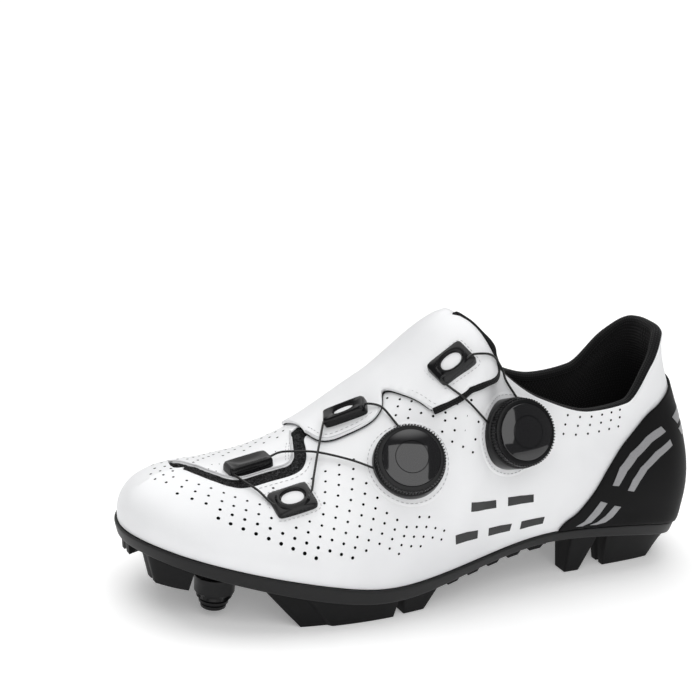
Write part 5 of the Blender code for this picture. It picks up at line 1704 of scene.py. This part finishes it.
def makeSole():
    cells = gridCells(0, np.linspace(0, 1, sole["uSteps"] + 1), np.linspace(-1, 1, sole["tSteps"] + 1))

    def low(s, u, t):
        fade = np.clip((1 - np.abs(t)) / 0.08, 0, 1) * np.clip(u / 0.03, 0, 1) * np.clip((1 - u) / 0.03, 0, 1)
        return solePoint(u, t, sole["undercut"], curveValue(curves["sole"], u) + soleRelief(u, t) * fade)

    def high(s, u, t):
        return solePoint(u, t, -sole["randOut"] + 0.5, curveValue(curves["z"], u) - sole["gap"])

    mesh = sheetMesh("sole_shell", cells, low, high, 0.8, 9, 0.45)
    finish = ("band", "plate", "band", "weave")
    piece = finishPiece("sole_shell", mesh, ["sole_plate"], 40, finish)
    # the cleat panel takes the woven finish
    middle = np.array((cleatMiddle(), -sole["panelShift"])) - shoe["origin"][:2]
    for polygon in mesh.polygons:
        if polygon.material_index == finish.index("plate"):
            x, y = (np.array(polygon.center.xy) * 1000 - middle) / sole["panelHalf"]
            if math.hypot(x, y) < 0.97:
                polygon.material_index = finish.index("weave")
    cutSlots(piece)


def cutSlots(piece):
    half, straight = sole["slotWidth"] / 2, (sole["slotLength"] - sole["slotWidth"]) / 2
    middleX = cleatMiddle()
    z = float(curveValue(curves["sole"], np.array(sole["cleatU"])))
    steps = 32
    for row in (-1, 1):
        ring = []
        for k in range(steps):
            a = 2 * math.pi * (k + 0.5) / steps
            ring.append((middleX + math.copysign(straight, math.cos(a)) + half * math.cos(a),
                         row * sole["slotSpacing"] / 2 + half * math.sin(a)))
        points = [(x, y, z - 15) for x, y in ring] + [(x, y, z + 25) for x, y in ring]
        walls = [(k, (k + 1) % steps, (k + 1) % steps + steps, k + steps) for k in range(steps)]
        walls += [tuple(range(steps)), tuple(range(2 * steps - 1, steps - 1, -1))]
        cutter = newObject(f"slot_{row + 1}", meshFrom(f"slot_{row + 1}", toFrame(points), walls))
        modifier = piece.modifiers.new("slot", "BOOLEAN")
        modifier.solver = "EXACT"
        modifier.object = cutter
        cut = plainMesh(piece)
        piece.modifiers.clear()
        piece.data = cut
        bpy.data.objects.remove(cutter, do_unlink=True)


def makeInsole():
    cells = gridCells(0, np.linspace(0, 1, 101), np.linspace(-1, 1, 41))
    inset = shoe["wall"] + sole["insoleClear"]

    def low(s, u, t):
        return solePoint(u, t, inset, curveValue(curves["z"], u) + sole["insoleGap"])

    def high(s, u, t):
        # a heel cup and a raised inner arch
        cup = 2.2 * smoothStep(np.abs(t), 0.55, 1.0) * (1 - smoothStep(u, 0.25, 0.42))
        arch = 2.6 * smoothStep(-t, 0.3, 1.0) * np.exp(-((u - 0.40) / 0.11) ** 2)
        z = curveValue(curves["z"], u) + sole["insoleGap"] + sole["insole"]
        return solePoint(u, t, inset, z + np.maximum(cup, arch) * 0.6)

    mesh = sheetMesh("insole_foot_bed", cells, low, high, 0.4, 3)
    piece = finishPiece("insole_foot_bed", mesh, ["insole"], 50, ("lining",) * 3)


def under(u):
    return curveValue(curves["sole"], u) - sole["gap"]


lugNames = "name u0 u1 lowU0 lowU1 t0 t1 lowT0 lowT1 lowZ groove".split()
lugs = (
    ("toe", 0.868, 0.945, 0.872, 0.928, 0.42, 0.97, 0.50, 0.90, 15.5, 1.2),
    ("ball", 0.544, 0.765, 0.549, 0.700, 0.54, 0.98, 0.62, 0.95, 0.0, 2.4),
    ("arch", 0.470, 0.536, 0.492, 0.530, 0.50, 0.98, 0.60, 0.94, 0.0, 0.0),
    ("heel_front", 0.212, 0.250, 0.226, 0.246, 0.45, 0.95, 0.52, 0.80, 0.0, 0.0),
    ("heel_back", 0.055, 0.200, 0.112, 0.190, 0.42, 0.95, 0.46, 0.76, 0.0, 1.6),
)
lugLines = {
    "a": (0, 0.12, 0.25, 0.38, 0.50, 0.62, 0.68, 0.72, 0.86, 1.0),
    "b": (0, 0.25, 0.40, 0.46, 0.60, 0.66, 0.82, 1.0),
    "grooveB": (0.43, 0.63),
    "ballNotch": (0.70, 0.9, 0.035),   # past these shares the ball lug's outer edge steps in by this t
    "bevel": 0.7,
}


def blockMesh(name, side, aLines, bLines, high, low, bevel):
    # a tread block with softened edges
    mesh = sheetMesh(name, gridCells(side, aLines, bLines), low, high, 0.0, 4)
    holder = newObject(name + "_block", mesh)
    modifier = holder.modifiers.new("soften", "BEVEL")
    modifier.width = bevel * 0.001
    modifier.segments = 3
    modifier.limit_method = "ANGLE"
    modifier.angle_limit = math.radians(35)
    made = plainMesh(holder)
    made.name = name
    bpy.data.objects.remove(holder, do_unlink=True)
    return made


def makeLug(lug, side, word):
    aLines, bLines = np.array(lugLines["a"]), np.array(lugLines["b"])
    notchA, notchB, notch = lugLines["ballNotch"]
    grooveStart, grooveEnd = lugLines["grooveB"]

    def across(t0, t1, a, b):
        t = between(t0, t1, b)
        return t - notch * (a > notchA) * (b > notchB) if lug["name"] == "ball" else t

    def high(s, a, b):
        u, t = between(lug["u0"], lug["u1"], a), across(lug["t0"], lug["t1"], a, b)
        return solePoint(u, s * t, sole["undercut"], under(u) + sole["sink"])

    def low(s, a, b):
        u, t = between(lug["lowU0"], lug["lowU1"], a), across(lug["lowT0"], lug["lowT1"], a, b)
        cut = lug["groove"] * ((b > grooveStart) & (b < grooveEnd))
        return solePoint(u, s * t, sole["undercut"], lug["lowZ"] + 0 * u + cut)

    mesh = blockMesh(f"tread_{lug['name']}_{word}", side, aLines, bLines, high, low, lugLines["bevel"])
    finishPiece(mesh.name, mesh, [f"lug_{lug['name']}_{word}"], 35, ("rubber",) * 3)


def makeLugs():
    for row in lugs:
        for side, word in ((1, "outer"), (-1, "inner")):
            makeLug(dict(zip(lugNames, row)), side, word)


combs = {
    "u": (0.285, 0.462), "t": (0.62, 0.93), "teeth": 5, "base": 1.6, "tooth": 1.5, "bevel": 0.45,
    "toothLines": (0.12, 0.24, 0.47, 0.70, 0.82), "bLines": (0, 0.35, 0.7, 1),
}


def makeCombs():
    aLines = [0.0]
    for i in range(combs["teeth"]):
        aLines += [(i + share) / combs["teeth"] for share in combs["toothLines"]]
    aLines.append(1.0)

    def at(s, a, b, height):
        u = between(*combs["u"], a)
        return solePoint(u, s * between(*combs["t"], b), sole["undercut"], under(u) + height)

    def high(s, a, b):
        return at(s, a, b, sole["sink"])

    def low(s, a, b):
        phase = np.mod(a * combs["teeth"] + 1e-4, 1.0)
        tooth = ((phase > 0.2) & (phase < 0.75)).astype(float)
        return at(s, a, b, -(combs["base"] + combs["tooth"] * tooth))

    for side, word in ((1, "outer"), (-1, "inner")):
        mesh = blockMesh(f"tread_comb_{word}", side, aLines, combs["bLines"], high, low, combs["bevel"])
        finishPiece(mesh.name, mesh, [f"comb_{word}"], 35, ("rubber",) * 3)


pads = {
    "thick": 1.6,
    "sink": 0.4,
    # name, node and outline in (u, t)
    "shapes": (
        ("tread_spine", "spine_pad", (
            (0.290, 0.0), (0.255, 0.24), (0.290, 0.44), (0.375, 0.16), (0.455, 0.40), (0.490, 0.22),
            (0.450, 0.0), (0.490, -0.22), (0.455, -0.40), (0.375, -0.16), (0.290, -0.44), (0.255, -0.24),
        )),
        ("tread_heel_pad", "heel_pad", (
            (0.075, -0.34), (0.17, -0.34), (0.19, -0.16), (0.19, 0.16), (0.17, 0.34), (0.075, 0.34),
        )),
    ),
    "gripU": (0.05, 0.5, 0.0095),     # from, to and step of the small grip points
    "gripT": (-0.48, 0.49, 0.075),
    "gripShare": 0.93,
    "gripWidth": 1.3,
    "gripRise": 0.35,
}


def makePads():
    def low(s, u, t):
        return solePoint(u, t, sole["undercut"], under(u) - pads["thick"])

    def high(s, u, t):
        return solePoint(u, t, sole["undercut"], under(u) + pads["sink"])

    for name, node, shape in pads["shapes"]:
        cells = patternCells(0, shape, np.linspace(0, 1, 81), np.linspace(-1, 1, 25))
        mesh = sheetMesh(name, cells, low, high, 0.25, 3)
        finishPiece(name, mesh, [node], 40, ("rubber",) * 3)
        spots = []
        for i, u in enumerate(np.arange(*pads["gripU"])):
            for t in np.arange(*pads["gripT"]):
                spot = (u, t + (pads["gripT"][2] / 2 if i % 2 else 0.0))
                if insideShape(spot, shape, pads["gripShare"]):
                    spots.append(spot)
        places = low(0, *np.array(spots).T)
        facings = np.tile((0, 0, -1.0), (len(places), 1))
        widths = np.full(len(places), pads["gripWidth"])
        spotField(name + "_grip", places, facings, widths, "rubber", 6, pads["gripRise"])


def insideShape(spot, shape, share):
    # true if the spot, moved out from the shape's middle, is still inside it
    middle = np.mean(shape, axis=0)
    u, t = middle + (np.array(spot) - middle) / share
    inside = False
    for (u0, t0), (u1, t1) in zip(shape, shape[1:] + shape[:1]):
        if (t0 > t) != (t1 > t) and u < (u1 - u0) * (t - t0) / (t1 - t0) + u0:
            inside = not inside
    return inside


def makeStuds():
    footZ = float(curveValue(curves["sole"], np.array(studs["u"])))
    for side, word in ((1, "outer"), (-1, "inner")):
        spot = solePoint(np.array([studs["u"]]), np.array([side * studs["t"]]), sole["undercut"], footZ)[0]
        low, r, tip, drop = studs["low"] - footZ, studs["radius"], studs["tip"], studs["drop"]
        # a third number marks a six-sided loop
        profile = [
            (0, low + 1.2), (tip - 2.0, low + 1.2), (tip - 1.7, low), (tip - 0.6, low), (tip, low + 0.5),
            (tip + 0.2, low + 1.8), (tip - 0.2, low + 2.1), (tip, low + 2.4), (tip + 0.9, low + 2.8),
            (tip + 1.0, low + 4.0), (tip + 0.5, low + 4.3), (tip + 0.6, low + 4.8), (r - 1.5, low + 5.4),
            (r - 1.1, low + 6.4, 6), (r - 0.6, low + 7.6, 6), (r - 0.4, low + 8.0),
            (r - 0.2, -drop - 2.4), (r, -drop - 1.8), (r, -drop - 0.2), (r - 0.3, -drop), (0, -drop),
        ]
        points, faces = lathePoints(profile, 72)
        mesh = meshFrom(f"stud_{word}", toFrame(points + spot), faces)
        finishPiece(f"stud_{word}", mesh, [f"toe_stud_{word}"], 30, ("plastic",))


bolts = {"head": 4.3, "headDown": 3.0, "shank": 2.4, "shankUp": 4.0, "socket": 2.1, "socketUp": 1.4,
         "place": 0.62, "seat": 6.3}


def makeBolts():
    middleX = cleatMiddle()
    straight = (sole["slotLength"] - sole["slotWidth"]) / 2
    near = np.linspace(sole["cleatU"] - 0.15, sole["cleatU"] + 0.15, 61)
    nearX = outline(near, np.ones(61))[0]
    r, low, hole = bolts["head"], -bolts["headDown"], bolts["socket"]
    profile = [(0, -bolts["socketUp"]), (hole, -bolts["socketUp"], 6), (hole + 0.2, low + 0.1, 6),
               (hole + 0.7, low), (r - 0.4, low), (r - 0.1, low + 0.3), (r, low + 0.7), (r, 0),
               (bolts["shank"], 0), (bolts["shank"], bolts["shankUp"]), (0, bolts["shankUp"])]
    points, faces = lathePoints(profile, 60)
    for row, side in ((-1, "inner"), (1, "outer")):
        for place, word in ((-1, "back"), (1, "front")):
            x, y = middleX + place * straight * bolts["place"], row * sole["slotSpacing"] / 2
            headed = np.abs(nearX - x) < bolts["seat"]
            top = float(curveValue(curves["sole"], near[headed]).min()) - sole["gap"]
            mesh = meshFrom(f"bolt_{word}_{side}", toFrame(points + np.array((x, y, top))), faces)
            finishPiece(f"bolt_{word}_{side}", mesh, [f"cleat_bolt_{word}_{side}"], 30, ("steel",))


makeSole()
makeInsole()
makeLugs()
makeCombs()
makePads()
makeStuds()
makeBolts()
print("stage: sole made")


# floor, light and camera

stage = {
    "floor": 6.0,
    "floorGlow": 0.24,
    "low": 0.22,                       # the room's brightness near the horizon
    "high": 2.05,                      # and inside the overhead light
    "overhead": (-0.10, -0.42, 0.90),  # where that light's middle stands
    "edge": (0.70, 0.86),              # cosine of its reach, from dark to full
    "key": {"place": (0.262, 0.720, 0.663), "aim": (0.02, 0.03, 0.06), "size": (0.92, 0.95), "power": 4.5},
}


def makeStage():
    mesh = bpy.data.meshes.new("studio_floor")
    r = stage["floor"]
    mesh.from_pydata([(-r, -r, 0), (r, -r, 0), (r, r, 0), (-r, r, 0)], [], [(0, 1, 2, 3)])
    mesh.materials.append(finishes["floor"])
    newObject("studio_floor", mesh)
    surface = finishes["floor"].node_tree.nodes["Principled BSDF"]
    surface.inputs["Emission Color"].default_value = (1, 1, 1, 1)
    surface.inputs["Emission Strength"].default_value = stage["floorGlow"]
    world = bpy.data.worlds.new("studio")
    bpy.context.scene.world = world
    world.use_nodes = True
    tree = world.node_tree
    where = tree.nodes.new("ShaderNodeTexCoord")
    near = tree.nodes.new("ShaderNodeVectorMath")
    near.operation = "DOT_PRODUCT"
    near.inputs[1].default_value = Vector(stage["overhead"]).normalized()
    glow = tree.nodes.new("ShaderNodeMapRange")
    glow.interpolation_type = "SMOOTHSTEP"
    for socket, value in enumerate((*stage["edge"], stage["low"], stage["high"]), 1):
        glow.inputs[socket].default_value = value
    tree.links.new(where.outputs["Generated"], near.inputs[0])
    tree.links.new(near.outputs["Value"], glow.inputs["Value"])
    tree.links.new(glow.outputs[0], tree.nodes["Background"].inputs["Strength"])
    tree.nodes["Background"].inputs["Color"].default_value = (1, 1, 1, 1)


def makeLight(name, spec):
    data = bpy.data.lights.new(name, "AREA")
    data.shape = "RECTANGLE"
    data.size, data.size_y = spec["size"]
    data.energy = spec["power"]
    light = newObject(name, data)
    light.location = spec["place"]
    light.rotation_euler = (Vector(spec["aim"]) - Vector(spec["place"])).to_track_quat("-Z", "Y").to_euler()


cameraView = {
    "azimuth": 28.82, "elevation": 18.187, "roll": 5.382,
    "distance": 888.81, "aim": (182.109, 0.0, 106.354),   # in mm, counted from the heel
    "focal": 2078.83, "frame": 700,                       # in pixels
    "sensor": 36,
}


def makeCamera():
    spec = cameraView
    a, e = math.radians(spec["azimuth"]), math.radians(spec["elevation"])
    back = Vector((math.sin(a) * math.cos(e), math.cos(a) * math.cos(e), math.sin(e)))
    right = (-back).cross(Vector((0, 0, 1))).normalized()
    up = right.cross(-back)
    r = math.radians(spec["roll"])
    right, up = right * math.cos(r) + up * math.sin(r), up * math.cos(r) - right * math.sin(r)
    place = Vector(toFrame(np.array(spec["aim"]) + np.array(back) * spec["distance"]))
    data = bpy.data.cameras.new("photo_camera")
    data.sensor_width = spec["sensor"]
    data.sensor_fit = "HORIZONTAL"
    data.lens = spec["focal"] / spec["frame"] * spec["sensor"]
    data.clip_start, data.clip_end = 0.05, 50
    camera = newObject("photo_camera", data)
    turn = Matrix((right, up, back)).transposed().to_4x4()
    camera.matrix_world = Matrix.Translation(place) @ turn
    bpy.context.scene.camera = camera


makeStage()
makeLight("key_softbox", stage["key"])
makeCamera()
bpy.context.scene.view_settings.view_transform = "Standard"
print("stage: studio made")
